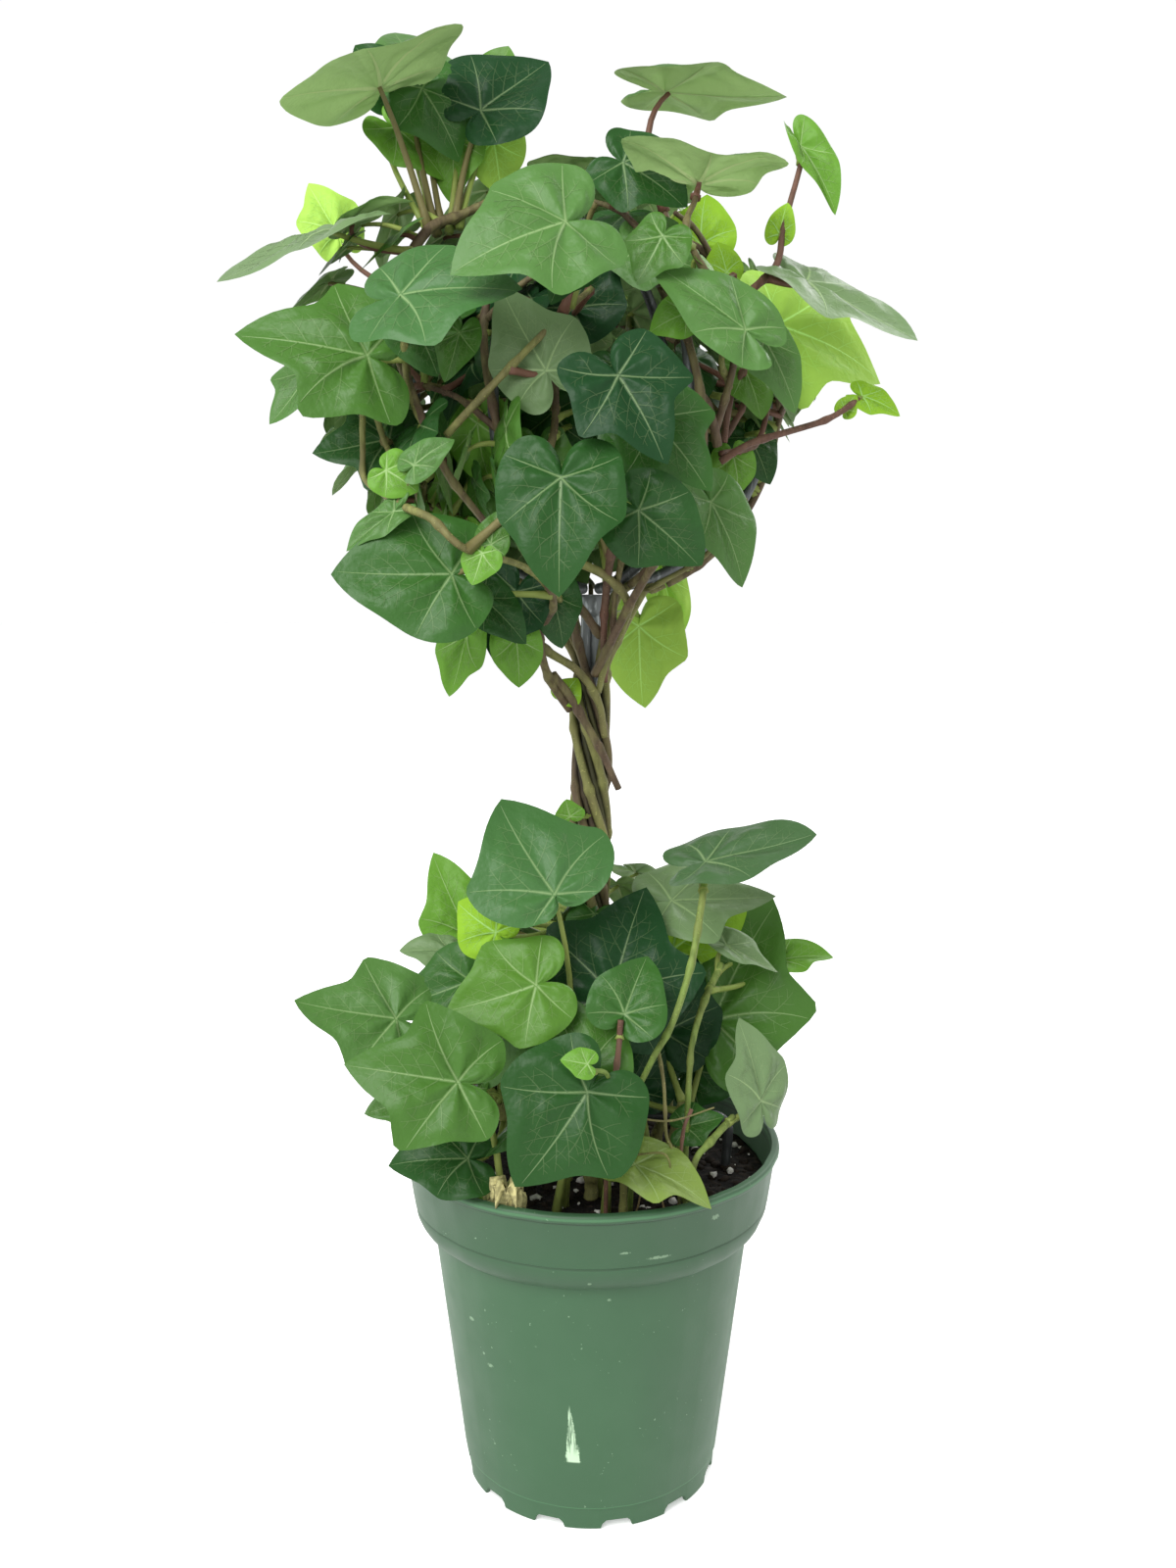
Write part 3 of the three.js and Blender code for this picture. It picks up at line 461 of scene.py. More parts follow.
class Shape:
    """The points and faces of one piece, gathered part by part."""

    def __init__(self):
        self.points = []
        self.corners = []
        self.sizes = []
        self.slots = []
        self.count = 0

    def add(self, points, groups, slot=0):
        """Takes points and groups of faces on them; all these faces get the same material slot."""
        points = np.asarray(points, float).reshape(-1, 3)
        self.extend(groups, slot)
        self.points.append(points)
        self.count += len(points)

    def extend(self, groups, slot):
        """Takes groups of faces on the points that are added next."""
        for faces in groups:
            self.corners.append((faces + self.count).ravel())
            self.sizes.append(np.full(len(faces), faces.shape[1]))
            self.slots.append(np.full(len(faces), slot))

    def piece(self, name, finishes, record_slot, replaced=(), crease=None):
        """Makes the mesh object, in metres, sharp past the crease angle, and sets it on the frame."""
        if not self.count:
            raise RuntimeError(f"{name} has no points")
        corners = np.concatenate(self.corners)
        sizes = np.concatenate(self.sizes)
        mesh = bpy.data.meshes.new(name)
        mesh.vertices.add(self.count)
        mesh.vertices.foreach_set("co", (np.concatenate(self.points) * MM).astype(np.float32).ravel())
        mesh.loops.add(len(corners))
        mesh.loops.foreach_set("vertex_index", corners.astype(np.int32))
        mesh.polygons.add(len(sizes))
        mesh.polygons.foreach_set("loop_start", (np.cumsum(sizes) - sizes).astype(np.int32))
        mesh.polygons.foreach_set("material_index", np.concatenate(self.slots).astype(np.int32))
        for finish in finishes:
            mesh.materials.append(finish)
        mesh.update(calc_edges=True)
        mesh.validate()
        mesh.shade_smooth()
        if crease is not None:
            mesh.set_sharp_from_angle(angle=math.radians(crease))
        made = bpy.data.objects.new(name, mesh)
        bpy.context.scene.collection.objects.link(made)
        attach(made, "root")
        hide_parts(*replaced)


class Value:
    """A shader socket that can stand in a sum: each operator adds the Math node for it."""

    def __init__(self, finish, socket):
        self.finish = finish
        self.socket = socket

    def math(self, operation, *terms):
        settings = {"operation": operation}
        return self.finish.node("ShaderNodeMath", settings, dict(enumerate(terms)))

    def __add__(self, other):
        return self.math("ADD", self, other)

    __radd__ = __add__

    def __mul__(self, other):
        return self.math("MULTIPLY", self, other)

    __rmul__ = __mul__

    def __sub__(self, other):
        return self.math("SUBTRACT", self, other)

    def __rsub__(self, other):
        return self.math("SUBTRACT", other, self)

    def __truediv__(self, other):
        return self.math("DIVIDE", self, other)

    def size(self):
        return self.math("ABSOLUTE", self)

    def power(self, exponent):
        return self.math("POWER", self, exponent)

    def root(self):
        return self.math("SQRT", self)

    def step(self, low, high):
        """Runs smoothly from 0 at low to 1 at high."""
        settings = {"interpolation_type": "SMOOTHSTEP"}
        inputs = {"Value": self, "From Min": low, "From Max": high}
        return self.finish.node("ShaderNodeMapRange", settings, inputs)


class Finish:
    """A material with a Principled shader, and the nodes that feed it."""

    def __init__(self, name, **constants):
        self.material = bpy.data.materials.new(name)
        self.material.use_nodes = True
        self.tree = self.material.node_tree
        self.shader = self.tree.nodes["Principled BSDF"]
        for key, value in constants.items():
            self.socket(key).default_value = value

    def socket(self, key):
        """The shader's input whose name is written here with small letters and underscores."""
        return self.shader.inputs[key.replace("_", " ").title().replace("Ior", "IOR")]

    def node(self, kind, settings, inputs, output=0):
        """Adds a node, sets what is set on it first, then its sockets, and returns one output."""
        made = self.tree.nodes.new(kind)
        for key, value in settings.items():
            setattr(made, key, value)
        for key, value in inputs.items():
            if isinstance(value, Value):
                self.tree.links.new(value.socket, made.inputs[key])
            else:
                made.inputs[key].default_value = value
        return Value(self, made.outputs[output])

    def place(self):
        """The piece's own coordinates, in metres."""
        return self.node("ShaderNodeTexCoord", {}, {}, "Object")

    def axis(self, place, name):
        return self.node("ShaderNodeSeparateXYZ", {}, {"Vector": place}, name)

    def axes(self, place):
        return [self.axis(place, name) for name in "XYZ"]

    def scaled(self, place, scale):
        settings = {"operation": "MULTIPLY"}
        return self.node("ShaderNodeVectorMath", settings, {0: place, 1: scale})

    def noise(self, place, scale, detail=2.0):
        inputs = {"Vector": place, "Scale": scale, "Detail": detail}
        return self.node("ShaderNodeTexNoise", {}, inputs, "Fac")

    def mix(self, factor, first, second):
        """A blend of two colours; each is a plain colour or the output of another blend."""
        inputs = {0: factor, 6: first, 7: second}
        return self.node("ShaderNodeMix", {"data_type": "RGBA"}, inputs, 2)

    def feed(self, **sockets):
        for key, value in sockets.items():
            self.tree.links.new(value.socket, self.socket(key))

    def bump(self, height, strength, distance):
        inputs = {"Height": height, "Strength": strength, "Distance": distance}
        self.feed(normal=self.node("ShaderNodeBump", {}, inputs, "Normal"))


class Backdrop(Finish):
    """The world behind the stage, made with the same nodes."""

    def __init__(self, name):
        self.material = bpy.data.worlds.new(name)
        self.material.use_nodes = True
        self.tree = self.material.node_tree
        self.shader = self.tree.nodes["Background"]


def opaque(colour, shade=1.0):
    """A colour with full alpha, lightened or darkened evenly."""
    return (*(min(1.0, part * shade) for part in colour), 1.0)


def blend(first, second, share):
    """A plain colour part of the way from one colour to another."""
    return tuple(a + (b - a) * share for a, b in zip(first, second))


def number(description, default, **more):
    return FloatProperty(description=description, default=default, **more)


def length(description, millimetres):
    return number(description, millimetres * MM, unit="LENGTH", precision=5)


def angle(description, degrees):
    return number(description, math.radians(degrees), subtype="ANGLE")


def amount(description, default, least=0):
    return IntProperty(description=description, default=default, min=least)


def tint(description, colour):
    return FloatVectorProperty(description=description, default=colour, size=3, subtype="COLOR", min=0, max=1)


class PotSettings(PropertyGroup):
    """Sizes and colours of the pot."""

    rim_radius: length("Outer radius of the lip", 57.15)
    height: length("Height of the lip over the table", 105)
    collar_foot_radius: length("Radius of the collar at its foot", 54)
    collar_height: length("Height of the upright band under the lip", 17)
    shoulder_height: length("Height of the shoulder under the collar", 8)
    body_top_radius: length("Radius of the body under the shoulder", 48)
    foot_radius: length("Outer radius of the foot ring", 38.4)
    wall: length("Thickness of the wall", 1.6)
    lip_width: length("Width of the rolled lip", 2.6)
    pad_radius: length("Radius of the underside's flat middle", 26)
    channel_height: length("Height of the drainage channel", 4.6)
    notch_height: length("Height of the notches in the foot ring", 2.8)
    notch_width: length("Width of a notch", 9)
    notches: amount("Notches round the foot", 12, 3)
    colour: tint("Colour of the moulded plastic", (0.043, 0.116, 0.052))
    scuff: tint("Colour of scratched plastic", (0.62, 0.86, 0.58))


class SoilSettings(PropertyGroup):
    """Sizes and colours of the soil."""

    top: length("Height of the soil over the table", 95)
    radius: length("Radius of the soil's surface", 53)
    relief: length("How far the surface rises and falls", 1.6)
    crumbs: amount("Lumps of soil and bark", 420)
    grains: amount("Pale grains on the soil", 150)
    colour: tint("Colour of the soil", (0.008, 0.007, 0.0065))
    bark: tint("Colour of the bark crumbs", (0.028, 0.020, 0.015))
    grain: tint("Colour of the pale grains", (0.72, 0.70, 0.66))
    husk: tint("Colour of the dry husk", (0.70, 0.64, 0.30))
    rootlet: tint("Colour of the rootlets", (0.30, 0.22, 0.11))


class WireSettings(PropertyGroup):
    """Sizes and colour of the wire frame."""

    radius: length("Radius of the wire", 1.5)
    globe_radius: length("Radius of the wire globe", 50)
    rod_offset: length("Half the distance between the two rods", 1.4)
    leg_height: length("Height of the legs' bend over the soil", 16)
    leg_reach: length("Distance from the rod to the legs' bend", 42)
    leg_foot_reach: length("Distance from the rod to the legs' ends", 38)
    leg_depth: length("How deep the legs go into the soil", 45)
    leg_bend: length("Radius of the legs' bend", 5)
    weld_radius: length("Radius of the weld under the globe", 5.6)
    colour: tint("Colour of the coated wire", (0.220, 0.240, 0.245))


class StemSettings(PropertyGroup):
    """Sizes and colours of the stems, boughs and shoots."""

    foot_radius: length("Radius of a stem at the soil", 1.65)
    tip_radius: length("Radius of a stem under the globe", 1.2)
    twine_radius: length("Distance of the twined stems from the rod", 4.7)
    root_spread: length("Distance of the stems' feet from the rod", 13)
    twine_foot: length("Height where the twining starts", 132)
    twine_top: length("Height where the twining ends", 250)
    twine_turn: angle("Turn of the stems round the rod", 450)
    olive: tint("Colour of young bark", (0.225, 0.228, 0.070))
    brown: tint("Colour of older bark", (0.115, 0.074, 0.043))
    red: tint("Colour of young shoots", (0.160, 0.078, 0.052))
    green: tint("Colour of the youngest bark", (0.175, 0.262, 0.050))
    pale: tint("Colour of the palest stalks", (0.25, 0.33, 0.075))


class LeafSettings(PropertyGroup):
    """Tints of the leaves."""

    # Painted shade: deep stands for leaves in the shade, and dark, besides old leaves, for leaves deep inside
    # the head.
    deep: tint("Oldest leaves, in the shade", (0.011, 0.048, 0.014))
    dark: tint("Old leaves", (0.018, 0.072, 0.013))
    green: tint("Full-grown leaves", (0.034, 0.113, 0.018))
    mid: tint("Full-grown leaves in the light", (0.056, 0.152, 0.021))
    cool: tint("Full-grown leaves with a faint bloom", (0.054, 0.150, 0.040))
    leaf: tint("Leaves with a matt bloom", (0.078, 0.185, 0.042))
    fresh: tint("Leaves still growing", (0.082, 0.200, 0.024))
    spring: tint("Young leaves", (0.125, 0.295, 0.034))
    lime: tint("Youngest leaves", (0.255, 0.475, 0.035))
    # Painted light: backlit paints the light that shines through thin leaves from behind.
    backlit: tint("Thin leaves with light behind them", (0.380, 0.640, 0.100))
    # Painted reflection: blue paints the sky reflected on the leaves.
    blue: tint("Leaves that reflect the sky", (0.062, 0.132, 0.050))
    olive: tint("Yellowing leaves", (0.190, 0.280, 0.058))
    # Painted sheen: sage paints the sky's pale sheen on the leaves.
    sage: tint("Leaves with a pale bloom", (0.155, 0.245, 0.108))
    vein: tint("Colour that the veins lean to", (0.420, 0.570, 0.270))
    under: tint("Colour that the undersides lean to", (0.420, 0.640, 0.250))
    raised: tint("Leaves with their undersides to the front", (0.060, 0.155, 0.028))
    # Painted light: these undersides are coloured bright as if lit through from behind.
    raised_under: tint("Undersides with light coming through", (0.56, 0.815, 0.32))


class StageSettings(PropertyGroup):
    """Light, floor and camera."""

    floor: tint("Colour of the floor", (0.97, 0.97, 0.97))
    sky: number("Strength of the light from all round", 1.02)
    zenith: number("Light from above over that from the sides", 0.45)
    nadir: number("Light from below over that from the sides", 0.7)
    glow: number("Light that the floor gives off by itself", 0.4)
    key: number("Power of the main light", 20.0, unit="POWER")
    fill: number("Power of the second light", 9.0, unit="POWER")
    distance: length("Distance of the camera from the stem", 427.4)
    height: length("Height of the camera over the table", 278.9)
    aside: length("Offset of the camera to the right", -0.85)
    tilt: angle("How far the camera looks down", 8.74)
    lens: number("Focal length", 33.75, unit="CAMERA")


def eye_place(settings):
    """The camera's place in millimetres."""
    return np.array((settings.aside, -settings.distance, settings.height)) / MM


def mm(metres):
    """A setting's length in millimetres."""
    return metres / MM


def in_mm(settings, names):
    """Several of a group's lengths in millimetres."""
    return [mm(getattr(settings, name)) for name in names.split()]


# Marks on the finishes, in metres. Pairs are where a mark starts to show and where it is full. The scuff on
# the pot has a foot, a head, a place left of the middle, a lean, a growth in half width and a least one.
# Painted shade: the pot's shoulder and collar are darkened above this height.
COLLAR_PAINTED_SHADE = (0.0793, 0.0801)
FRONT_EDGE = (-0.02, -0.015)
SCUFF_LOW = 0.0228
SCUFF_HIGH = 0.0412
SCUFF_ASIDE = 0.0056
SCUFF_LEAN = 0.0012
SCUFF_WIDE = 0.0018
SCUFF_NARROW = 0.0002
# Painted shade on the wire: it fades out up the legs over the first pair and comes back on the globe over the
# second.
LEG_PAINTED_SHADE_END = (0.112, 0.135)
GLOBE_PAINTED_SHADE = (0.262, 0.275)
# Painted shade in the grooves between the twined stems near the rod.
TWINE_PAINTED_SHADE = (0.0042, 0.0057)
# Painted highlights on the outer crests of the twined stems.
TWINE_PAINTED_HIGHLIGHT = (0.0056, 0.0068)
TWINE_OUTSIDE = (0.0072, 0.0080)
TWINE_START = (0.125, 0.14)
TWINE_END = (0.246, 0.256)

# Small scratches on the front of the pot: x, height, half width and half height, in metres.
SCRATCHES = (
    (0.0185, 0.0905, 0.0045, 0.0007), (0.0345, 0.0985, 0.0016, 0.0011), (-0.0005, 0.0835, 0.0008, 0.0006),
    (-0.0345, 0.0610, 0.0010, 0.0009), (-0.0290, 0.0485, 0.0012, 0.0010), (-0.0310, 0.0515, 0.0006, 0.0006),
    (0.0090, 0.0930, 0.0022, 0.0005), (0.0050, 0.0760, 0.0008, 0.0006),
)

# Lines round the pot: height, half width, strength and shade. The dark lines are painted shade in the creases
# under
# # the shoulder, at the collar and under the lip; the pale ones are painted highlights on the moulding step
# and the
# # lip's top edge.
POT_PAINTED_LIGHT_LINES = (
    (0.0799, 0.0005, 0.7, 0.3), (0.0880, 0.0004, 0.45, 0.3), (0.0071, 0.0004, 0.6, 2.2),
    (0.1021, 0.0004, 0.6, 0.3), (0.1038, 0.0006, 0.5, 2.2),
)


def plastic_finish(settings):
    """Moulded plastic: a faint cloud of lighter and darker colour, a shoulder and collar darkened by painted
    shade, painted shade in the creases and painted highlights on the moulding step and the lip's edge, a
    fine grain, scattered pale specks, small scratches, and one scuff on the front that widens downwards and
    is broken up by streaks."""
    made = Finish("pot_plastic", specular_ior_level=0.45)
    place = made.place()
    x, y, z = made.axes(place)
    cloud = made.noise(place, scale=38.0, detail=4.0)
    colour = made.mix(cloud, opaque(settings.colour, 0.88), opaque(settings.colour, 1.16))
    # Painted shade: the shoulder and collar are darkened as if turned away from the light.
    colour = made.mix(z.step(*COLLAR_PAINTED_SHADE) * 0.4, colour, opaque(settings.colour, 0.62))
    # Painted shade in the creases and painted highlights on the moulding step and the lip's edge.
    for height, width, depth, shade in POT_PAINTED_LIGHT_LINES:
        line = 1 - (z - height).size().step(0.3 * width, width)
        colour = made.mix(line * depth, colour, opaque(settings.colour, shade))
    specks = made.noise(place, scale=900.0).step(0.71, 0.76)
    dust = specks * made.noise(place, scale=60.0).step(0.5, 0.62)
    colour = made.mix(dust * 0.45, colour, opaque(settings.scuff, 0.75))
    rise = (z - SCUFF_LOW) / (SCUFF_HIGH - SCUFF_LOW)
    streak = made.noise(made.scaled(place, (3200.0, 90.0, 150.0)), scale=1.0, detail=3.0)
    fleck = made.noise(place, scale=1700.0)
    half = SCUFF_WIDE * (1 - rise) + SCUFF_NARROW
    across = (x + SCUFF_ASIDE + SCUFF_LEAN * (rise - 0.5)).size() / half
    ragged = 1 - (across + (streak - 0.5) * 1.7 + (fleck - 0.5) * 0.9).step(0.75, 1.1)
    head = (z + 0.004 * streak).step(SCUFF_HIGH - 0.001, SCUFF_HIGH + 0.003)
    span = z.step(SCUFF_LOW - 0.0002, SCUFF_LOW + 0.0004) * (1 - head)
    front = 1 - y.step(*FRONT_EDGE)
    wear_and_highlight = ragged * span * front * (1 - 0.85 * rise.step(0.08, 0.4) * streak.step(0.44, 0.56))
    marks = 0.0
    for spot_x, spot_z, wide, tall in SCRATCHES:
        away = ((x - spot_x) / wide).size().power(2.0) + ((z - spot_z) / tall).size().power(2.0)
        marks = (1 - (away + fleck * 1.6).step(0.9, 1.4)) + marks
    wear_and_highlight = wear_and_highlight + marks * front * 0.3
    colour = made.mix(wear_and_highlight, colour, opaque(settings.scuff))
    made.feed(base_color=colour, roughness=0.42 + 0.16 * made.noise(place, scale=120.0) + wear_and_highlight * 0.2)
    grain = made.noise(place, scale=1400.0) + wear_and_highlight * 2.0
    made.bump(grain, strength=0.12, distance=0.2 * MM)
    return made.material


def soil_finish(settings):
    """Damp soil: near black, with browner crumbs where a fine noise is high, and a rough, grainy face."""
    made = Finish("soil_damp", specular_ior_level=0.15)
    place = made.place()
    crumbs = made.noise(place, scale=420.0, detail=4.0)
    colour = made.mix(crumbs.step(0.42, 0.75), opaque(settings.colour), opaque(settings.bark))
    made.feed(base_color=colour, roughness=0.95 - crumbs * 0.35)
    made.bump(crumbs, strength=0.8, distance=1.5 * MM)
    return made.material


def grain_finish(name, colour, dark):
    """Rough mineral or dry plant matter: two shades of one colour dealt out by a fine noise."""
    made = Finish(name, specular_ior_level=0.15)
    place = made.place()
    cloud = made.noise(place, scale=700.0, detail=3.0)
    made.feed(base_color=made.mix(cloud.step(0.35, 0.65), opaque(colour, dark), opaque(colour)))
    made.feed(roughness=0.7 + cloud * 0.3)
    made.bump(cloud, strength=0.5, distance=0.4 * MM)
    return made.material


def wire_finish(settings):
    """Coated steel wire: dark grey, with duller and shinier patches, bright streaks that are painted
    highlights, and painted shade on the legs and the globe."""
    made = Finish("wire_coated", metallic=0.45)
    place = made.place()
    patch = made.noise(place, scale=260.0, detail=3.0)
    streak = made.noise(made.scaled(place, (900.0, 900.0, 90.0)), scale=1.0)
    # Painted highlights: bright streaks along the wire.
    wear_and_highlight = streak.step(0.56, 0.72)
    colour = made.mix(wear_and_highlight, opaque(settings.colour), opaque(settings.colour, 2.6))
    # Painted shade: the legs under the skirt and the hoops inside the head are darkened.
    z = made.axis(place, "Z")
    wire_painted_shade = 1 - z.step(*LEG_PAINTED_SHADE_END) * (1 - 0.8 * z.step(*GLOBE_PAINTED_SHADE))
    colour = made.mix(wire_painted_shade * (0.7 + 0.3 * patch), colour, opaque(settings.colour, 0.09))
    made.feed(base_color=colour, roughness=0.30 + patch * 0.35)
    made.bump(patch, strength=0.2, distance=0.3 * MM)
    return made.material


def bark_finish(name, colour, second):
    """Young bark: two colours that run along the stem, paler dots, and fine lengthwise relief. Where the
    stems twine, painted shade darkens the grooves near the rod and painted highlights lighten the crests."""
    made = Finish(name, specular_ior_level=0.4)
    place = made.place()
    run = made.noise(made.scaled(place, (700.0, 700.0, 120.0)), scale=1.0, detail=4.0)
    cloud = made.noise(place, scale=90.0)
    dots = made.noise(place, scale=1500.0, detail=1.0).step(0.66, 0.72)
    base = made.mix(cloud.step(0.38, 0.66), opaque(colour), opaque(second))
    base = made.mix(run.step(0.35, 0.7) * 0.6, base, opaque(colour, 0.45))
    base = made.mix(dots * 0.4, base, opaque(colour, 2.4))
    x, y, z = made.axes(place)
    reach = (x * x + y * y).root()
    # Painted shade: the grooves between the twined stems are darkened.
    groove_painted_shade = 1 - reach.step(*TWINE_PAINTED_SHADE)
    # Painted highlight: the outer crests of the twined stems are lightened.
    crest_painted_highlight = reach.step(*TWINE_PAINTED_HIGHLIGHT) * (1 - reach.step(*TWINE_OUTSIDE))
    twined = z.step(*TWINE_START) * (1 - z.step(*TWINE_END))
    base = made.mix(crest_painted_highlight * twined * 0.5, base, opaque(colour, 1.5))
    base = made.mix(groove_painted_shade * twined * 0.92, base, opaque(colour, 0.10))
    made.feed(base_color=base, roughness=0.5 + run * 0.35)
    made.bump(run + dots * 0.6, strength=0.7, distance=0.5 * MM)
    return made.material


def leaf_finish(name, colour, roughness, gloss=0.24):
    """The satin face of leaves, stalks and rootlets: one plain colour, dealt out piece by piece, on a face
    that is puckered every 4 mm or so and finely grained, with a sheen that is uneven in the same places."""
    made = Finish(name, base_color=opaque(colour), specular_ior_level=gloss)
    place = made.place()
    pucker = made.noise(place, scale=240.0)
    grain = made.noise(place, scale=1500.0, detail=1.0)
    made.feed(roughness=pucker * 0.24 + (roughness - 0.12))
    made.bump(pucker + grain * 0.1, strength=0.45, distance=1.2 * MM)
    return made.material


def pot_profile(settings):
    """The pot's outline, as radius and height from the middle of the underside round to the inside."""
    rim, foot, collar_radius, body_radius, pad = in_mm(
        settings, "rim_radius foot_radius collar_foot_radius body_top_radius pad_radius"
    )
    top, collar, shoulder, channel = in_mm(settings, "height collar_height shoulder_height channel_height")
    wall, lip = in_mm(settings, "wall lip_width")
    collar_foot = top - collar
    body_top = collar_foot - shoulder
    floor = channel + POT_FLOOR

    def body(height):
        return foot + (body_radius - foot) * height / body_top

    bend = np.radians(np.linspace(8, 78, 8))
    drop = np.sin(bend) - np.sin(bend[0])
    pull = np.cos(bend[0]) - np.cos(bend)
    rounded = np.stack((
        collar_radius - 0.2 - (collar_radius - body_radius - 1.1) * pull / pull[-1],
        collar_foot - (collar_foot - body_top) * drop / drop[-1],
    ), -1)[::-1]
    roll = np.radians(np.linspace(-90, 90, 9))
    rolled = np.stack((rim - 0.9 + 0.9 * np.cos(roll), top - lip / 2 + (lip / 2) * np.sin(roll)), -1)
    parts = (
        ((0, 0), (pad - 0.6, 0), (pad, 0.25), (pad + 1.5, channel - 0.5), (pad + 2.2, channel)),
        ((foot - wall - 0.5, channel), (foot - wall, channel - 0.5), (foot - wall, 0.25)),
        ((foot - wall + 0.25, 0), (foot - 0.5, 0), (foot - 0.1, 0.3)),
        ((body(6.9) - 0.45, 6.9), (body(7.0), 7.1), (body(40), 40), (body(body_top - 0.1), body_top - 0.1)),
        rounded,
        ((collar_radius - 0.3, collar_foot + 0.3), (collar_radius - 0.05, collar_foot + 0.5)),
        ((rim - 1.3, top - lip - 0.5), (rim - 1.0, top - lip)),
        rolled,
        ((rim - lip + 0.4, top), (rim - lip, top - 0.5), (collar_radius - wall, collar_foot)),
        ((body_radius - wall, body_top), (body(floor) - wall, floor)),
        ((pad + 1, floor), (pad - 1, POT_FLOOR), (0, POT_FLOOR)),
    )
    return np.concatenate([np.asarray(part, float) for part in parts])


def pot_shape(settings):
    """The outline turned about the upright axis. Where a notch is, no point of the foot ring lies lower
    than the notch's height; a notch's two edges are columns that stand close together."""
    profile = pot_profile(settings)
    notches = settings.notches
    notch = mm(settings.notch_height)
    foot = mm(settings.foot_radius)
    half = math.degrees(0.5 * mm(settings.notch_width) / foot)
    pitch = 360 / notches
    local = np.array((-half - NOTCH_EDGE, -half + NOTCH_EDGE, -half * 0.7, half * 0.7, half - NOTCH_EDGE,
                      half + NOTCH_EDGE))
    land = np.linspace(half + 0.2, pitch - half - 0.2, 8)[1:-1]
    columns = np.concatenate((local, land))
    azimuth = NOTCH_TURN + np.add.outer(pitch * np.arange(notches), columns).ravel()
    cut = np.tile(np.concatenate((NOTCH_CUT, np.zeros(len(land)))), notches)
    ring = profile[:, 0] > mm(settings.pad_radius) + 3
    low = np.where(ring[:, None], notch * cut[None, :], 0.0)
    height = np.maximum(profile[:, 1:2], low)
    inside = slice(1, -1)
    points = around(azimuth[None, :], profile[inside, 0:1], height[inside])
    rows = len(profile) - 2
    count = len(azimuth)
    middle = rows * count
    under = fan_faces(middle, 0, count)[:, ::-1]
    over = fan_faces(middle + 1, middle - count, count)
    poles = np.array(((0, 0, profile[0, 1]), (0, 0, profile[-1, 1])))
    shape = Shape()
    shape.add(np.concatenate((points.reshape(-1, 3), poles)), [grid_faces(rows, count), under, over])
    return shape


def pebbles(shape, centres, size, seed, flat):
    """Small lumps: a ball of few faces round each centre, each of its points moved in or out by chance. A
    lump is longer one way, turned at random and flattened."""
    rows = 3
    sides = 6
    tilt = np.pi * (np.arange(rows) + 1) / (rows + 1)
    turn = 2 * np.pi * np.arange(sides) / sides
    ball = np.stack(np.broadcast_arrays(
        np.sin(tilt)[:, None] * np.cos(turn), np.sin(tilt)[:, None] * np.sin(turn), -np.cos(tilt)[:, None],
    ), -1).reshape(-1, 3)
    ball = np.concatenate((ball, ((0, 0, -1), (0, 0, 1))))
    count = len(centres)
    index = np.arange(count)[:, None] * 31.7 + np.arange(len(ball))[None, :]
    reach = size[:, None] * by_chance(index, seed, 0.72, 0.5)
    squash = np.array((1.0, 1.0, flat))
    spin = 2 * np.pi * chance(np.arange(count), seed + 1)
    cos = np.cos(spin)[:, None]
    sin = np.sin(spin)[:, None]
    long = by_chance(np.arange(count), seed + 2, 1, 0.7)[:, None]
    x = ball[None, :, 0] * long
    y = ball[None, :, 1] + 0 * long
    turned = np.stack((x * cos - y * sin, x * sin + y * cos, ball[None, :, 2] + 0 * long), -1)
    points = centres[:, None, :] + reach[..., None] * turned * squash
    pole = rows * sides
    caps = np.concatenate((fan_faces(pole, 0, sides)[:, ::-1], fan_faces(pole + 1, pole - sides, sides)))
    walls = grid_faces(rows, sides)
    shape.add(points, [repeat_faces(faces, count, len(ball)) for faces in (walls, caps)])


def soil_height(places, settings):
    """The soil's surface: its level, raised and lowered by coarse and fine smooth noise."""
    relief = mm(settings.relief)
    return mm(settings.top) + relief * (0.6 * lumps(places, 13.0, 1) + 0.4 * lumps(places, 4.0, 2) - 0.4)


def scatter(count, radius, seed):
    """Points spread evenly over a disc by the golden angle, each moved a little by chance."""
    i = np.arange(count)
    reach = radius * np.sqrt(by_chance(i, seed, i + 0.3, 0.6) / count)
    return around(GOLDEN_ANGLE * i + 130 * chance(i, seed + 1), reach, 0.0)


def soil_surface(settings):
    """A disc of rings whose points follow the soil's height, closed by a narrower flat base below."""
    rings = np.linspace(0, 1, 40)[1:, None]
    columns = 120
    turn = 360 / columns * np.arange(columns)[None, :]
    surface = around(turn, mm(settings.radius) * rings, 0.0)
    surface[..., 2] = soil_height(surface, settings)
    below = mm(settings.top) - SOIL_DEPTH
    base = surface[-1] * np.array((SOIL_DRAW_IN, SOIL_DRAW_IN, 0)) + below * UP
    points = np.concatenate((surface, base[None]))
    pole = len(points) * columns
    ends = np.array(((0, 0, soil_height(np.zeros(3), settings)), (0, 0, below)))
    wall = grid_faces(len(points), columns)[:, ::-1]
    top = fan_faces(pole, 0, columns)
    bottom = fan_faces(pole + 1, pole - columns, columns)[:, ::-1]
    shape = Shape()
    shape.add(np.concatenate((points.reshape(-1, 3), ends)), [wall, top, bottom])
    return shape


def soil_lumps(settings, count, seed, inset, lift, sizes, power, flat):
    """Lumps spread over the soil. Their size is the least one and a power of chance times the rest, so that
    large ones are rare."""
    centres = scatter(count, mm(settings.radius) - inset, seed)
    centres[:, 2] = soil_height(centres, settings) + lift
    size = sizes[0] + sizes[1] * chance(np.arange(count), seed + 2) ** power
    shape = Shape()
    pebbles(shape, centres, size, seed + 3, flat)
    return shape


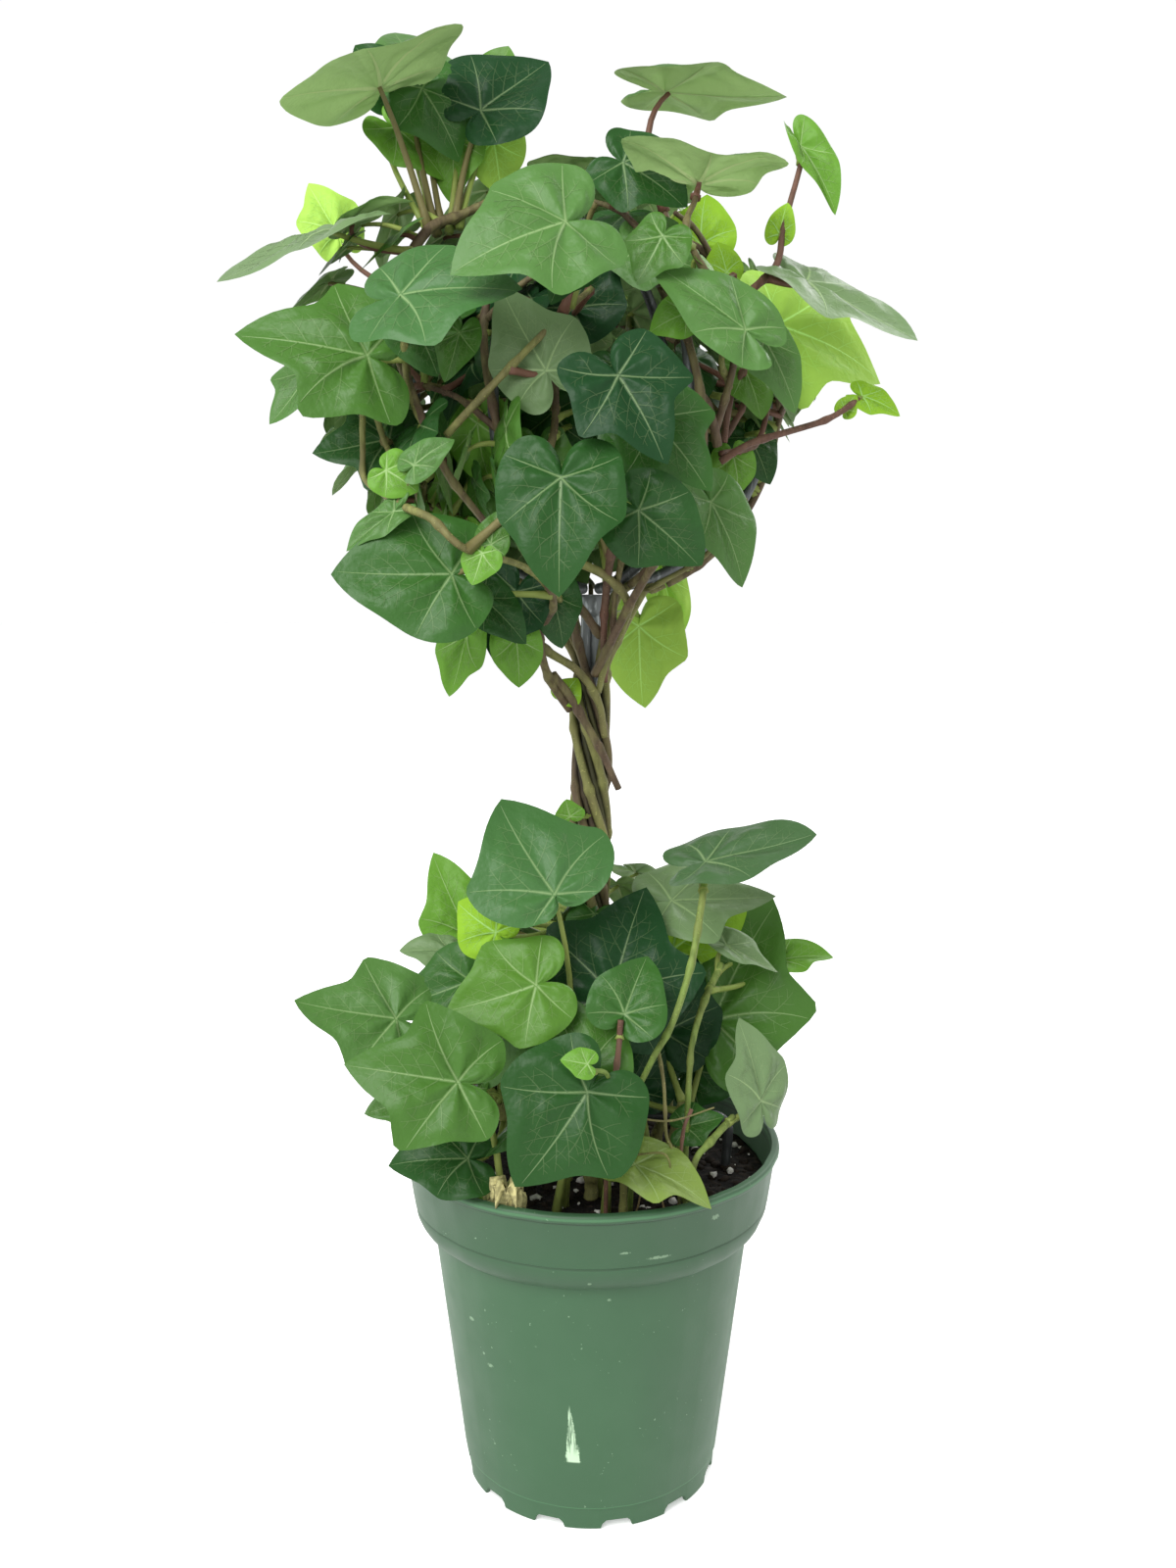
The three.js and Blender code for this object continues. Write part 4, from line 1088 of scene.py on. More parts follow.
def husk_shape(settings):
    """A tuft of dry husk: flat blades from one root, each bent over its own way and widest in the middle,
    by half a wave of a sine."""
    steps = 9
    sides = len(HUSK_OVAL)
    run = np.linspace(0, 1, steps)
    thick = (HUSK_WIDTH * np.sin(2.8 * run + 0.25))[:, None] * np.array(HUSK_OVAL)
    root = np.array((*HUSK_ROOT, mm(settings.top) + 0.5))
    shape = Shape()
    for number in range(HUSK_BLADES):
        way = around(-170 + 38 * number + 30 * chance(number, 51), by_chance(number, 52, 4.5, 4), 0.0)
        lift = by_chance(number, 53, 9.0, 7.0) * UP
        path = smooth_path((root, root + 0.6 * way + lift, root + way + 0.6 * lift), steps)
        shape.add(tube(path, thick, sides, np.cross(way, UP)), tube_faces(steps, sides))
    return shape


def rootlet_shape(settings):
    """Thin rootlets: each leaves the soil, swings over in an arch with a small waver, and comes down."""
    steps = 24
    sides = 5
    shape = Shape()
    roots = np.arange(ROOTLETS)
    feet = around(-70 + 13 * roots, by_chance(roots, 61, 22, 14), mm(settings.top) + 0.2)
    for number, foot in enumerate(feet):
        swing = around(360 * chance(number, 62), ROOTLET_SWING, 0.0)
        rise = by_chance(number, 63, 4, 12) * UP
        bend = foot + 0.7 * rise + 0.3 * swing
        path = smooth_path((foot, bend, foot + rise + swing, foot + 1.6 * swing), steps)
        waver = np.sin(np.linspace(0, 9, steps) + number)[:, None]
        path = path + 0.6 * waver * unit(np.cross(swing, UP))
        rod(shape, path, ROOTLET_RADIUS, sides, np.cross(swing, rise))
    return shape


def leg_line(settings, soil):
    """A leg's distance from the rod and its height: level out from the rod, round a bend, then down and a
    little inwards into the soil."""
    rise, reach, low, depth, turn = in_mm(
        settings, "leg_height leg_reach leg_foot_reach leg_depth leg_bend"
    )
    foot = soil + rise
    corner = np.radians(np.linspace(0, 90, 10))
    level = np.linspace(0, reach - turn, LEG_STEPS)[:-1]
    inward = np.linspace(reach, low, LEG_STEPS)[1:]
    drop = np.linspace(foot - turn, soil - depth, LEG_STEPS)[1:]
    out = np.concatenate((level, reach - turn + turn * np.sin(corner), inward))
    up = np.concatenate((np.full(len(level), foot), foot - turn + turn * np.cos(corner), drop))
    return out, up


def wire_shape(settings, soil):
    """Round wire along the lines of the stand and the globe: two rods side by side, a weld that swells
    towards its top, three legs, and half hoops from pole to pole of the globe."""
    radius = mm(settings.radius)
    globe = mm(settings.globe_radius)
    weld = on_globe(0.0, -HOOP_END, globe)[2] - radius - WELD_GAP
    height = np.linspace(soil + mm(settings.leg_height) - radius, weld, 24)
    shape = Shape()
    for side in (-1, 1):
        path = np.stack(np.broadcast_arrays(side * mm(settings.rod_offset), 0.0, height), -1)
        rod(shape, path, radius, WIRE_SIDES, BACK)
    bend = np.linspace(-1, 1, 9)
    path = np.stack((0 * bend, 0 * bend, weld - WELD_HALF + WELD_HALF * bend), -1)
    wide = mm(settings.weld_radius) * (0.72 + 0.16 * bend - 0.12 * bend ** 4)
    rod(shape, path, wide, 24, BACK)
    out, up = leg_line(settings, soil)
    for azimuth in LEG_TURNS:
        rod(shape, around(azimuth, out, up), radius, WIRE_SIDES, around(azimuth + 90, 1.0, 0.0))
    for index in range(HOOPS):
        azimuth = 360 * index / HOOPS
        path = on_globe(azimuth, np.linspace(-HOOP_END, HOOP_END, 60), globe)
        rod(shape, path, radius, WIRE_SIDES, around(azimuth + 90, 1.0, 0.0))
    return shape


def stem_path(azimuth, settings, count, inset=0.0, climb=0.0):
    """A stem's line: up from the soil, in to the rod, round it along a helix, then out under its hoop and
    up the globe by climb degrees. A slow wave of a third of a millimetre keeps it from being even."""
    foot = STEM_FOOT
    turn = math.degrees(settings.twine_turn)
    spread, twine, low, high = in_mm(settings, "root_spread twine_radius twine_foot twine_top")
    twine = twine - inset
    t = np.linspace(0, 1, 21)
    helix = around(azimuth + turn * (1 - t), twine, low + (high - low) * t)
    start = around(azimuth + turn, np.array((spread, spread, (spread + twine) / 2)),
                   np.array((foot, foot + 4, (foot + low) / 2)))
    end = on_globe(azimuth, STEM_TIP + np.array((-8.0, -4.0, 0.0)), BOUGH_RADIUS)
    if climb:
        above = on_globe(azimuth + np.array((9, -6)), STEM_TIP + climb * np.array((0.5, 1)), BOUGH_RADIUS)
        end = np.concatenate((end, above))
    path = smooth_path(np.concatenate((start, helix, end)), count)
    sway = np.sin(np.linspace(0, 23 + azimuth / 40, count))[:, None]
    return path + STEM_SWAY * sway * unit(path * np.array((1, 1, 0)))


def strand_path(index, settings, count):
    """A thin stem in the gap between two thick ones, nearer the rod, that climbs on between the hoops."""
    return stem_path(360 * (index + 0.5) / HOOPS, settings, count, STRAND_INSET, STRAND_CLIMB)


def strand_joints(settings, stretch):
    """The points on one stretch of the thin stems, as joints for stalks."""
    chosen = [index for indices in STRANDS.values() for index in indices]
    return [strand_path(index, settings, STRAND_JOINTS)[stretch] for index in chosen]


def knuckles(path, seed, spacing, swell):
    """How much thicker a limb is along its path: a bump at each joint, joints about evenly apart."""
    steps = np.linalg.norm(np.diff(path, axis=0), axis=1)
    run = np.concatenate(((0,), np.cumsum(steps)))
    joints = np.arange(0.4, run[-1] / spacing)
    joints = spacing * by_chance(joints, seed, joints, 0.5)
    bumps = np.exp(-(((run[:, None] - joints[None, :]) / 1.5) ** 2))
    return 1 + swell * bumps.sum(1)


def ridges(steps, sides, seed):
    """How much thicker a limb is round and along it: two low waves round it that turn along its length."""
    turn = 2 * np.pi * np.arange(sides) / sides
    run = np.linspace(0, 1, steps)[:, None]
    return 1 + 0.05 * np.sin(3 * turn + 9 * run + seed) + 0.03 * np.sin(5 * turn - 31 * run + 2 * seed)


def limb(shape, path, radii, seed, sides=STEM_SIDES):
    """A round limb with bark, that thins evenly from its foot to its tip: swollen joints and low ridges that
    wander along its length."""
    radius = np.linspace(*radii, len(path))
    thick = (radius * knuckles(path, seed, 17.0, 0.3))[:, None] * ridges(len(path), sides, seed)
    chord = unit(path[-1] - path[0])
    across = np.cross(chord, np.eye(3)[np.argmin(np.abs(chord))])
    shape.add(tube(path, thick, sides, across), tube_faces(len(path), sides))


def bough_place(index, elevation):
    """A point of a bough: on its meridian of the globe, swaying to either side as it climbs."""
    sway = BOUGH_SWAY * np.sin(np.radians((elevation - STEM_TIP) * BOUGH_WAVES))
    return on_globe(360 * index / HOOPS + sway, elevation, BOUGH_RADIUS)


def twig_path(index, number, count):
    """A side twig: out from its bough to one side and up, arching a little."""
    elevation = TWIG_FIRST + TWIG_STEP * number
    side = 1 if number % 2 == 0 else -1
    widen = min(1 / math.cos(math.radians(elevation)), TWIG_WIDEN_LIMIT)
    root = bough_place(index, elevation)
    tip = on_globe(360 * index / HOOPS + side * TWIG_SPREAD * widen, elevation + TWIG_RISE,
                   BOUGH_RADIUS + TWIG_LIFT)
    return smooth_path((root, (root + tip) / 2 + TWIG_ARCH * UP, tip), count)


def shoot_path(index, count):
    """A shoot round the foot: upright out of the soil, then leaning away from the stem."""
    azimuth = 360 * (index + 0.5) / SHOOTS
    return smooth_path(around(azimuth, SHOOT_REACH, SHOOT_HEIGHT), count)


class Leaves:
    """A row of leaves: where each blade meets its stalk, its axes, size, form and tint."""

    FIELDS = ("point", "tip", "normal", "length", "lobes", "width", "droop", "fold", "wave", "phase", "tint")

    def __init__(self, **fields):
        for name in self.FIELDS:
            setattr(self, name, np.asarray(fields[name]))

    def pick(self, chosen):
        return Leaves(**{name: getattr(self, name)[chosen] for name in self.FIELDS})

    def join(self, other):
        return Leaves(**{
            name: np.concatenate((getattr(self, name), getattr(other, name))) for name in self.FIELDS
        })

    def middle(self):
        """The middle of each blade, a little way from its stalk to its tip."""
        return self.point + MIDDLE * self.length[:, None] * self.tip

    def column(self, name):
        """A field shaped to go with a grid of points on each blade."""
        return getattr(self, name)[:, None, None]


def leader_leaves(rows, seed):
    """Turns leaders' rows into leaves with their own axes."""
    numbers = np.array([row[:10] for row in rows], float)
    clock, lean, face = np.radians(numbers[:, 3:6]).T[..., None]
    tip = np.concatenate((np.cos(lean) * np.cos(clock), -np.sin(lean), np.cos(lean) * np.sin(clock)), 1)
    facing = unit(FRONT - tip * (tip @ FRONT)[:, None])
    raised = np.cross(tip, facing)
    raised = raised * np.where(raised[:, 2:] < 0, -1, 1)
    normal = facing * np.cos(face) + raised * np.sin(face)
    i = np.arange(len(rows)) + seed
    return Leaves(
        point=numbers[:, :3], tip=tip, normal=normal, length=numbers[:, 6], lobes=numbers[:, 7],
        width=numbers[:, 8], droop=by_chance(i, 11, 0.10, 0.10), fold=numbers[:, 9],
        wave=by_chance(i, 13, 0.012, 0.02), phase=FULL_TURN * chance(i, 14), tint=[row[10] for row in rows],
    )


def ruled_leaves(i, point, outward, lift, hang, lengths, tints):
    """Leaves that face outwards and up from their places, with hanging tips, all a little at random."""
    jitter = np.stack([chance(i, k) - 0.5 for k in (3, 4, 5)], -1)
    normal = unit(outward + UP * np.broadcast_to(lift, i.shape)[:, None] + 0.6 * jitter)
    tip = outward - hang * UP + 1.4 * jitter
    tip = unit(tip - normal * np.sum(tip * normal, -1, keepdims=True))
    dealt = (chance(i, 9) * len(tints)).astype(int)
    return Leaves(
        point=point, tip=tip, normal=normal, length=by_chance(i, 6, lengths[0], lengths[1] - lengths[0]),
        lobes=chance(i, 7), width=by_chance(i, 8, 0.8, 0.25), droop=by_chance(i, 11, 0.12, 0.12),
        fold=by_chance(i, 12, -0.02, 0.12), wave=by_chance(i, 13, 0.012, 0.02),
        phase=FULL_TURN * chance(i, 14), tint=np.array(tints)[dealt],
    )


def globe_leaves(places, reaches, lengths, seed, tints, turn=1.0):
    """Leaves spread evenly over a globe by the golden angle; the front keeps to the inner shells. They face
    outwards, with each axis weighted by turn."""
    i = np.arange(places)
    height = 1 - 2 * (i + 0.5) / places
    outward = around(GOLDEN_ANGLE * i + 2 * seed, np.sqrt(1 - height * height), height)
    shell = np.where(outward[:, 1] < FRONT_LIMIT, 0, i % len(reaches))
    aside = np.maximum(0, outward[:, 0]) * np.clip(0.35 - height, 0, 0.65)
    taper = 1 - UNDER_TAPER * np.maximum(0, -height) - SIDE_TAPER * aside
    taper = taper - TOP_TAPER * np.maximum(0, height - TOP_START)
    reach = taper * (np.array(reaches)[shell] + REACH_JITTER * (chance(i + seed, 1) - 0.5))
    point = outward * reach[:, None] + CROWN_HEIGHT * UP
    lift = np.where(height < UNDER_LIMIT, 0.3, 0.75)
    return ruled_leaves(i + seed, point, unit(outward * turn), lift, 1.0, lengths, tints)


def foot_leaves(places, reaches, lengths, seed, tints, turn=1.0):
    """Leaves spread round the foot by the golden angle, the higher ones nearer the stem."""
    i = np.arange(places)
    place = i + seed - FOOT_SEED
    azimuth = GOLDEN_ANGLE * i + 2 * (seed - FOOT_SEED)
    outward = unit(around(azimuth, 1.0, 0.2))
    shell = np.where(outward[:, 1] < FRONT_LIMIT, 0, i % len(reaches))
    rise = chance(place, 2)
    reach = np.array(reaches)[shell] + REACH_JITTER * (chance(place, 1) - 0.5)
    point = around(azimuth, reach - FOOT_DRAW_IN * rise ** 2, FOOT_LOW + FOOT_RISE * rise)
    return ruled_leaves(i + seed, point, unit(outward * turn), 1.0, 0.35, lengths, tints)


def pierces(leaves, leaders):
    """Which leaves cut through one of the leaders: the leaf's length or its width, as a line, crosses the
    leader's plane near its middle."""
    size = leaves.length[:, None]
    middle = leaves.middle()
    along = PIERCE_ALONG * size * leaves.tip
    aside = PIERCE_ASIDE * size * np.cross(leaves.normal, leaves.tip)
    heart = leaders.middle()
    start = np.stack((middle - along, middle - aside), 1)[:, :, None] - heart
    end = np.stack((middle + along, middle + aside), 1)[:, :, None] - heart
    rise = np.sum(start * leaders.normal, -1)
    climb = np.sum((end - start) * leaders.normal, -1)
    share = -rise / np.where(np.abs(climb) < TINY, TINY, climb)
    spot = start + (end - start) * share[..., None]
    near = np.linalg.norm(spot, axis=-1) < PIERCE_REACH * leaders.length
    return ((share > 0) & (share < 1) & near).any((1, 2))


def in_sky(leaves, sky, eye):
    """Which leaves stand in one of the open places in the plane of the stem, seen from the eye."""
    sight = (leaves.middle() - eye)[:, None]
    places = np.array(sky)
    gap = sight[..., ::2] / sight[..., 1:2] + (places[:, :2] - eye[::2]) / eye[1]
    room = MIDDLE * leaves.length[:, None] / sight[..., 1] - places[:, 2] / eye[1]
    return (np.linalg.norm(gap, axis=-1) < room).any(1)


def clear_sky(leaves, first, sky, eye):
    """Draws each leaf after the first ones that stands in the sky in towards the stem, and drops it if it
    still stands there."""
    later = np.arange(len(leaves.length)) >= first
    stands = (later & in_sky(leaves, sky, eye))[:, None]
    leaves.point = np.where(stands, leaves.point * SKY_DRAW_IN, leaves.point)
    return leaves.pick(~(later & in_sky(leaves, sky, eye)))


def in_view(leaves, first, vines, eye, room=VIEW_ROOM, top=math.inf):
    """Drops the leaves after the first ones that would hide one of those, or a vine, from the eye: seen from
    there, the two middles lie closer than a share of both lengths, and the leaf or vine lies behind. A leaf
    higher than top is kept only if one of the first leaves covers it, and none that pierces one of those."""
    marks = np.concatenate([smooth_path(points, VINE_MARKS) for points, radius, bark in vines])
    size = np.concatenate((leaves.length, np.full(len(marks), VINE_ROOM)))
    sight = np.concatenate((leaves.middle(), marks)) - eye
    depth = sight[:, 1]
    spot = sight[:, ::2] / depth[:, None]
    size = size / depth
    total = len(leaves.length)
    shown = np.r_[:first, total:len(size)]
    later = np.arange(first, total)
    apart = np.linalg.norm(spot[later, None] - spot[None, shown], axis=-1)
    close = apart < room * (size[later, None] + size[None, shown])
    hides = close & (depth[later, None] < depth[None, shown])
    covered = (apart < COVER_ROOM * size[None, shown]) & (depth[later, None] > depth[None, shown])
    kept = ~hides.any(1) & (covered[:, :first].any(1) | (leaves.point[later, 2] < top))
    kept = kept & ~pierces(leaves.pick(later), leaves.pick(slice(first)))
    return leaves.pick(np.concatenate((np.ones(first, bool), kept)))


def flank_leaves(leaders, flank, vines, eye, top=math.inf):
    """The leaves that stand at the front's left and right sides, clear of the leaders and vines."""
    x, y, z = flank.point.T
    aside = (y < FLANK_FRONT) & (np.abs(x) > FLANK_ASIDE) & (z < FLANK_PEAK)
    first = len(leaders.length)
    leaves = in_view(leaders.join(flank.pick(aside)), first, vines, eye, FLANK_ROOM, top)
    return leaves.pick(slice(first, None))


def thin_out(leaves, first, spacing):
    """Keeps the first leaves, then each later one whose middle lies clear of all middles kept so far."""
    middle = leaves.middle()
    size = 0.5 * leaves.length
    kept = list(range(first))
    for i in range(first, len(size)):
        apart = np.linalg.norm(middle[kept] - middle[i], axis=1)
        if np.all(apart > spacing * (size[kept] + size[i])):
            kept.append(i)
    return leaves.pick(kept)


# A blade's outline from its tip round to the stalk: degrees, and the radius over the length of a plain
# heart, of a deeply lobed leaf and of a leaf that is cut off square at the stalk.
OUTLINE_TURN = np.array((0.0, 12.0, 32.0, 48.0, 58.0, 70.0, 94.0, 116.0, 126.0, 140.0, 160.0, 180.0))
OUTLINES = np.array((
    (1.0, 0.90, 0.77, 0.72, 0.70, 0.68, 0.62, 0.55, 0.51, 0.46, 0.34, 0.10),
    (1.0, 0.82, 0.60, 0.67, 0.76, 0.66, 0.52, 0.55, 0.58, 0.52, 0.36, 0.10),
    (1.0, 0.88, 0.75, 0.73, 0.75, 0.68, 0.51, 0.37, 0.30, 0.25, 0.17, 0.08),
))
OUTLINE_SLOPES = np.gradient(OUTLINES, OUTLINE_TURN, axis=1)


def outline(theta, lobes, phase):
    """A blade's radius over its length: a smooth cubic through the radii of a heart, leaning to those of a
    lobed leaf where lobes is above 0 and to those of a square-cut leaf where it is below. Two slow waves
    make the halves unlike."""
    angle = 180 - np.abs(180 - np.abs(np.degrees(theta)))
    k = np.clip(np.searchsorted(OUTLINE_TURN, angle, side="right") - 1, 0, len(OUTLINE_TURN) - 2)
    step = OUTLINE_TURN[k + 1] - OUTLINE_TURN[k]
    t = (angle - OUTLINE_TURN[k]) / step
    lobed = np.maximum(lobes, 0)
    square = np.maximum(-lobes, 0)
    total = 0.0
    for share, form, slope in zip((1 - lobed - square, lobed, square), OUTLINES, OUTLINE_SLOPES):
        start = (1 - t) ** 2 * ((1 + 2 * t) * form[k] + t * step * slope[k])
        end = t ** 2 * ((3 - 2 * t) * form[k + 1] + (t - 1) * step * slope[k + 1])
        total = total + share * (start + end)
    return total * (1 + 0.035 * np.sin(3 * theta + phase) + 0.02 * np.sin(5 * theta + 2 * phase))


def margin(leaves, x, y):
    """How far points of the blades' plane lie from the stalk, over the distance of the margin there."""
    return np.hypot(x, y) / outline(np.arctan2(y, x), leaves.column("lobes"), leaves.column("phase"))


def blade_height(leaves, x, y):
    """The blade over its own plane, in leaf lengths: it droops with the square of the distance from the
    stalk, folds along the midrib, twists, swells and puckers between the veins, waves along its margin and
    bends at the tip."""
    reach = np.hypot(x, y)
    theta = np.arctan2(y, x)
    phase = leaves.column("phase")
    rho = np.minimum(margin(leaves, x, y), 1.15)
    between = np.sin(3 * theta) ** 2 * np.cos(theta / 4)
    pucker = 0.011 * between * rho * np.sin(19 * rho + 2 * np.abs(y) + phase)
    swell = 0.15 * between * rho * (1.2 - rho) + pucker
    swell = swell + 0.16 * np.sin(phase) * x * y + 0.25 * np.cos(1.7 * phase) * np.maximum(x - 0.35, 0) ** 2
    wave = leaves.column("wave") * rho ** 3 * np.sin(3 * theta + phase)
    wave = wave + 0.5 * leaves.column("wave") * rho ** 4 * np.sin(6 * theta + 2 * phase)
    fold = leaves.column("fold") * (np.sqrt(y * y + 0.004) - 0.063)
    curl = leaves.column("fold") * np.maximum(np.abs(y) - 0.35, 0) ** 2
    return fold - 2 * curl + swell + wave - leaves.column("droop") * reach ** 2


def on_blade(leaves, x, y, lift):
    """Points on the blades, moved out along the blade's own upright by lift in millimetres."""
    step = 0.015
    height = blade_height(leaves, x, y)
    slope_x = (blade_height(leaves, x + step, y) - blade_height(leaves, x - step, y)) / (2 * step)
    slope_y = (blade_height(leaves, x, y + step) - blade_height(leaves, x, y - step)) / (2 * step)
    upright = unit(np.stack((-slope_x, -slope_y, np.ones_like(slope_x)), -1))
    size = leaves.column("length")
    flat = np.stack((x * size, y * size * leaves.column("width"), height * size), -1)
    local = flat + upright * np.broadcast_to(lift, x.shape)[..., None]
    axes = np.stack((leaves.tip, np.cross(leaves.normal, leaves.tip), leaves.normal), 1)
    return leaves.point[:, None, None, :] + np.einsum("mrca,mab->mrcb", local, axes)


def blades(shape, leaves, rings, columns):
    """Blades as closed shells: rings of points from the stalk out to the outline, an upper and an under
    face that meet at the margin."""
    count = len(leaves.length)
    rho = (np.linspace(0, 1, rings + 1)[1:] ** 0.8)[None, :, None]
    theta = (2 * np.pi * np.arange(columns) / columns)[None, None, :]
    theta = np.where(theta > np.pi, theta - 2 * np.pi, theta)
    reach = rho * outline(theta, leaves.column("lobes"), leaves.column("phase"))
    x = reach * np.cos(theta)
    y = reach * np.sin(theta)
    depth = LEAF_THICKNESS * (1 - rho ** 2) + 0 * x
    upper = on_blade(leaves, x, y, 0.0).reshape(count, -1, 3)
    under = on_blade(leaves, x[:, :-1], y[:, :-1], -depth[:, :-1]).reshape(count, -1, 3)
    zero = np.zeros((count, 1, 1))
    poles = [on_blade(leaves, zero, zero, lift).reshape(count, 1, 3) for lift in (0.0, -LEAF_THICKNESS)]
    points = np.concatenate((upper, under, *poles), 1)
    i = columns * np.arange(rings - 1)[:, None]
    j = np.arange(columns)[None, :]
    k = (j + 1) % columns
    near = np.stack((i + j, i + columns + j, i + columns + k), -1).reshape(-1, 3)
    far = np.stack((i + j, i + columns + k, i + k), -1).reshape(-1, 3)
    wall = np.concatenate((near, far))
    first = rings * columns
    edge = first - columns
    centre = points.shape[1] - 2
    fan = fan_faces(centre, 0, columns)
    below = np.where(wall >= edge, wall, wall + first)[:, ::-1]
    below_fan = fan_faces(centre + 1, first, columns)[:, ::-1]
    groups = [repeat_faces(faces, count, points.shape[1]) for faces in (wall, fan, below, below_fan)]
    shape.extend(groups[:2], 0)
    shape.add(points, groups[2:], 1)


def cut_short(leaves, starts, stops, limit):
    """Ends of vein lines, drawn back until they lie within a share of the way to the margin."""
    for _ in range(3):
        over = margin(leaves, stops[..., :1], stops[..., 1:]) / limit
        stops = starts + (stops - starts) / np.maximum(1, over) ** 2
    return stops


# The five main veins: how fast the turn of each changes from leaf to leaf, its turn from the tip in degrees,
# how far it strays, how much it bends, and the share of the way to the margin that they reach.
VEIN_WANDER = (1.7, 2.3, 3.1, 4.3, 5.9)
VEIN_TURNS = (0.0, 58.0, -58.0, 118.0, -118.0)
VEIN_STRAY = (2.0, 6.0, 6.0, 9.0, 9.0)
VEIN_BENDS = (0.0, -0.16, -0.16, -0.10, -0.10)
VEIN_REACH = 0.96

# Side veins: the main vein they leave, the share along it, the turn from it and the length. Forks: the share
# along the side vein, the side and the size. Both have a limit on the way to the margin, and a bend.
FINE_BRANCHES = (
    *((0, share, 42, 0.5) for share in (0.16, 0.33, 0.5, 0.68)),
    *((k, share, 40, 0.42) for k in (1, 2) for share in (0.3, 0.58)),
    *((k, 0.45, 42, 0.3) for k in (3, 4)),
)
PLAIN_BRANCHES = (
    *((0, share, 42, 0.5) for share in (0.28, 0.55)),
    *((k, 0.42, 40, 0.36) for k in (1, 2)),
)
BRANCH_LIMIT = 0.88
BRANCH_BEND = 0.14
FORKS = ((0.3, 1, 0.5), (0.46, -1, 0.44), (0.72, 1, 0.32))
FORK_LIMIT = 0.93
FORK_BEND = 0.2


def vein_lines(leaves, fine):
    """Starts, ends and bends of the veins in the blades' plane: five from the stalk out to the lobes, side
    veins that leave them at about 40 degrees, and short veins that leave the side veins. A leaf's phase turns
    and bends its veins in its own way."""
    sway = np.sin(np.outer(leaves.phase, VEIN_WANDER) + np.arange(len(VEIN_WANDER)))
    angles = np.radians(VEIN_TURNS + sway * VEIN_STRAY)
    reach = VEIN_REACH * outline(angles[..., None], leaves.column("lobes"), leaves.column("phase"))
    ends = reach * np.stack((np.cos(angles), np.sin(angles)), -1)
    bends = (0.10 * sway + VEIN_BENDS)[..., None]
    across = np.stack((-ends[..., 1], ends[..., 0]), -1) * np.sign(ends[..., 1:] + TINY)
    starts = []
    stops = []
    for number, (k, share, turn, run) in enumerate(FINE_BRANCHES if fine else PLAIN_BRANCHES):
        for side in (1, -1):
            stray = np.sin(3 * leaves.phase + 5 * number + side)[:, None]
            spot = share + 0.04 * side + 0.03 * stray
            start = ends[:, k] * spot + bends[:, k] * spot * (1 - spot) * across[:, k]
            way = angles[:, k, None] + side * np.radians(turn + 8 * stray)
            starts.append(start)
            stops.append(start + (run * (1 - share) + 0.06) * np.concatenate((np.cos(way), np.sin(way)), 1))
    starts = np.stack(starts, 1)
    stops = cut_short(leaves, starts, np.stack(stops, 1), BRANCH_LIMIT)
    run = stops - starts
    turned = np.stack((-run[..., 1], run[..., 0]), -1)
    fork_starts = np.concatenate([starts + share * run for share, side, size in FORKS], 1)
    fork_stops = np.concatenate([
        starts + share * run + size * (0.66 * run + 0.75 * side * turned) for share, side, size in FORKS
    ], 1)
    fork_stops = cut_short(leaves, fork_starts, fork_stops, FORK_LIMIT)
    main = np.zeros_like(ends), ends, bends[..., None]
    return main, (starts, stops, BRANCH_BEND), (fork_starts, fork_stops, FORK_BEND)


def vein_strips(shape, leaves, lines, steps, profile, sizes, below=False):
    """Low ridges along the vein lines. The profile gives each row of points across a ridge, as its place
    over the ridge's half width, its height over the blade, and the material slot of the faces after it."""
    starts, stops, bend = lines
    count, veins = starts.shape[:2]
    t = np.linspace(0, 1, steps + 1)
    line = starts[:, :, None] + (stops - starts)[:, :, None] * t[:, None]
    way = unit(stops - starts)
    side = np.stack((-way[..., 1], way[..., 0]), -1)[:, :, None]
    run = np.linalg.norm(stops - starts, axis=-1)[:, :, None, None]
    line = line + bend * run * (t * (1 - t))[:, None] * side * np.sign(stops[:, :, None, 1:] + TINY)
    half = (sizes[0] + (sizes[1] - sizes[0]) * t)[None, None, :] / leaves.length[:, None, None]
    half = half * (0.55 + leaves.length[:, None, None] / 60)
    place = np.array([row[0] for row in profile])
    rise = np.array([row[1] for row in profile])
    spots = line[..., None, :] + (half[..., None] * place)[..., None] * side[..., None, :]
    x = spots[..., 0].reshape(count, -1, len(profile))
    y = spots[..., 1].reshape(count, -1, len(profile))
    lift = rise + 0 * x
    if below:
        lift = -LEAF_THICKNESS * (1 - np.minimum(margin(leaves, x, y), 1) ** 2) - lift
    points = on_blade(leaves, x, y, lift)
    columns = len(profile)
    i = np.arange(steps)[:, None] * columns
    for j in range(columns - 1):
        corners = np.stack((i + j, i + columns + j, i + columns + j + 1, i + j + 1), -1).reshape(-1, 4)
        corners = corners[:, ::-1] if below else corners
        faces = repeat_faces(corners, count * veins, (steps + 1) * columns)
        shape.extend([faces], profile[j][2])
    shape.add(points, [])


# Profiles across the veins, half their widths at the start and at the end, and how fine a leaf is: rings and
# columns of the blade, and steps along its main veins, side veins and under veins.
MAIN_VEIN = ((-2.4, 0.03, 2), (-1.0, 0.09, 3), (1.0, 0.09, 2), (2.4, 0.03, 2))
SIDE_VEIN = ((-1.0, 0.08, 2), (1.0, 0.08, 2))
FINE_VEIN = ((-1.0, 0.06, 2), (1.0, 0.06, 2))
UNDER_VEIN = ((-1.0, 0.08, 4), (1.0, 0.08, 4))
MAIN_WIDTH = (0.22, 0.03)
SIDE_WIDTH = (0.15, 0.05)
FINE_WIDTH = (0.09, 0.05)
UNDER_WIDTH = (0.4, 0.1)
FINE_LEAF = (12, 72, 12, 7, 8)
PLAIN_LEAF = (5, 40, 6, 3, 4)
FORK_STEPS = 4


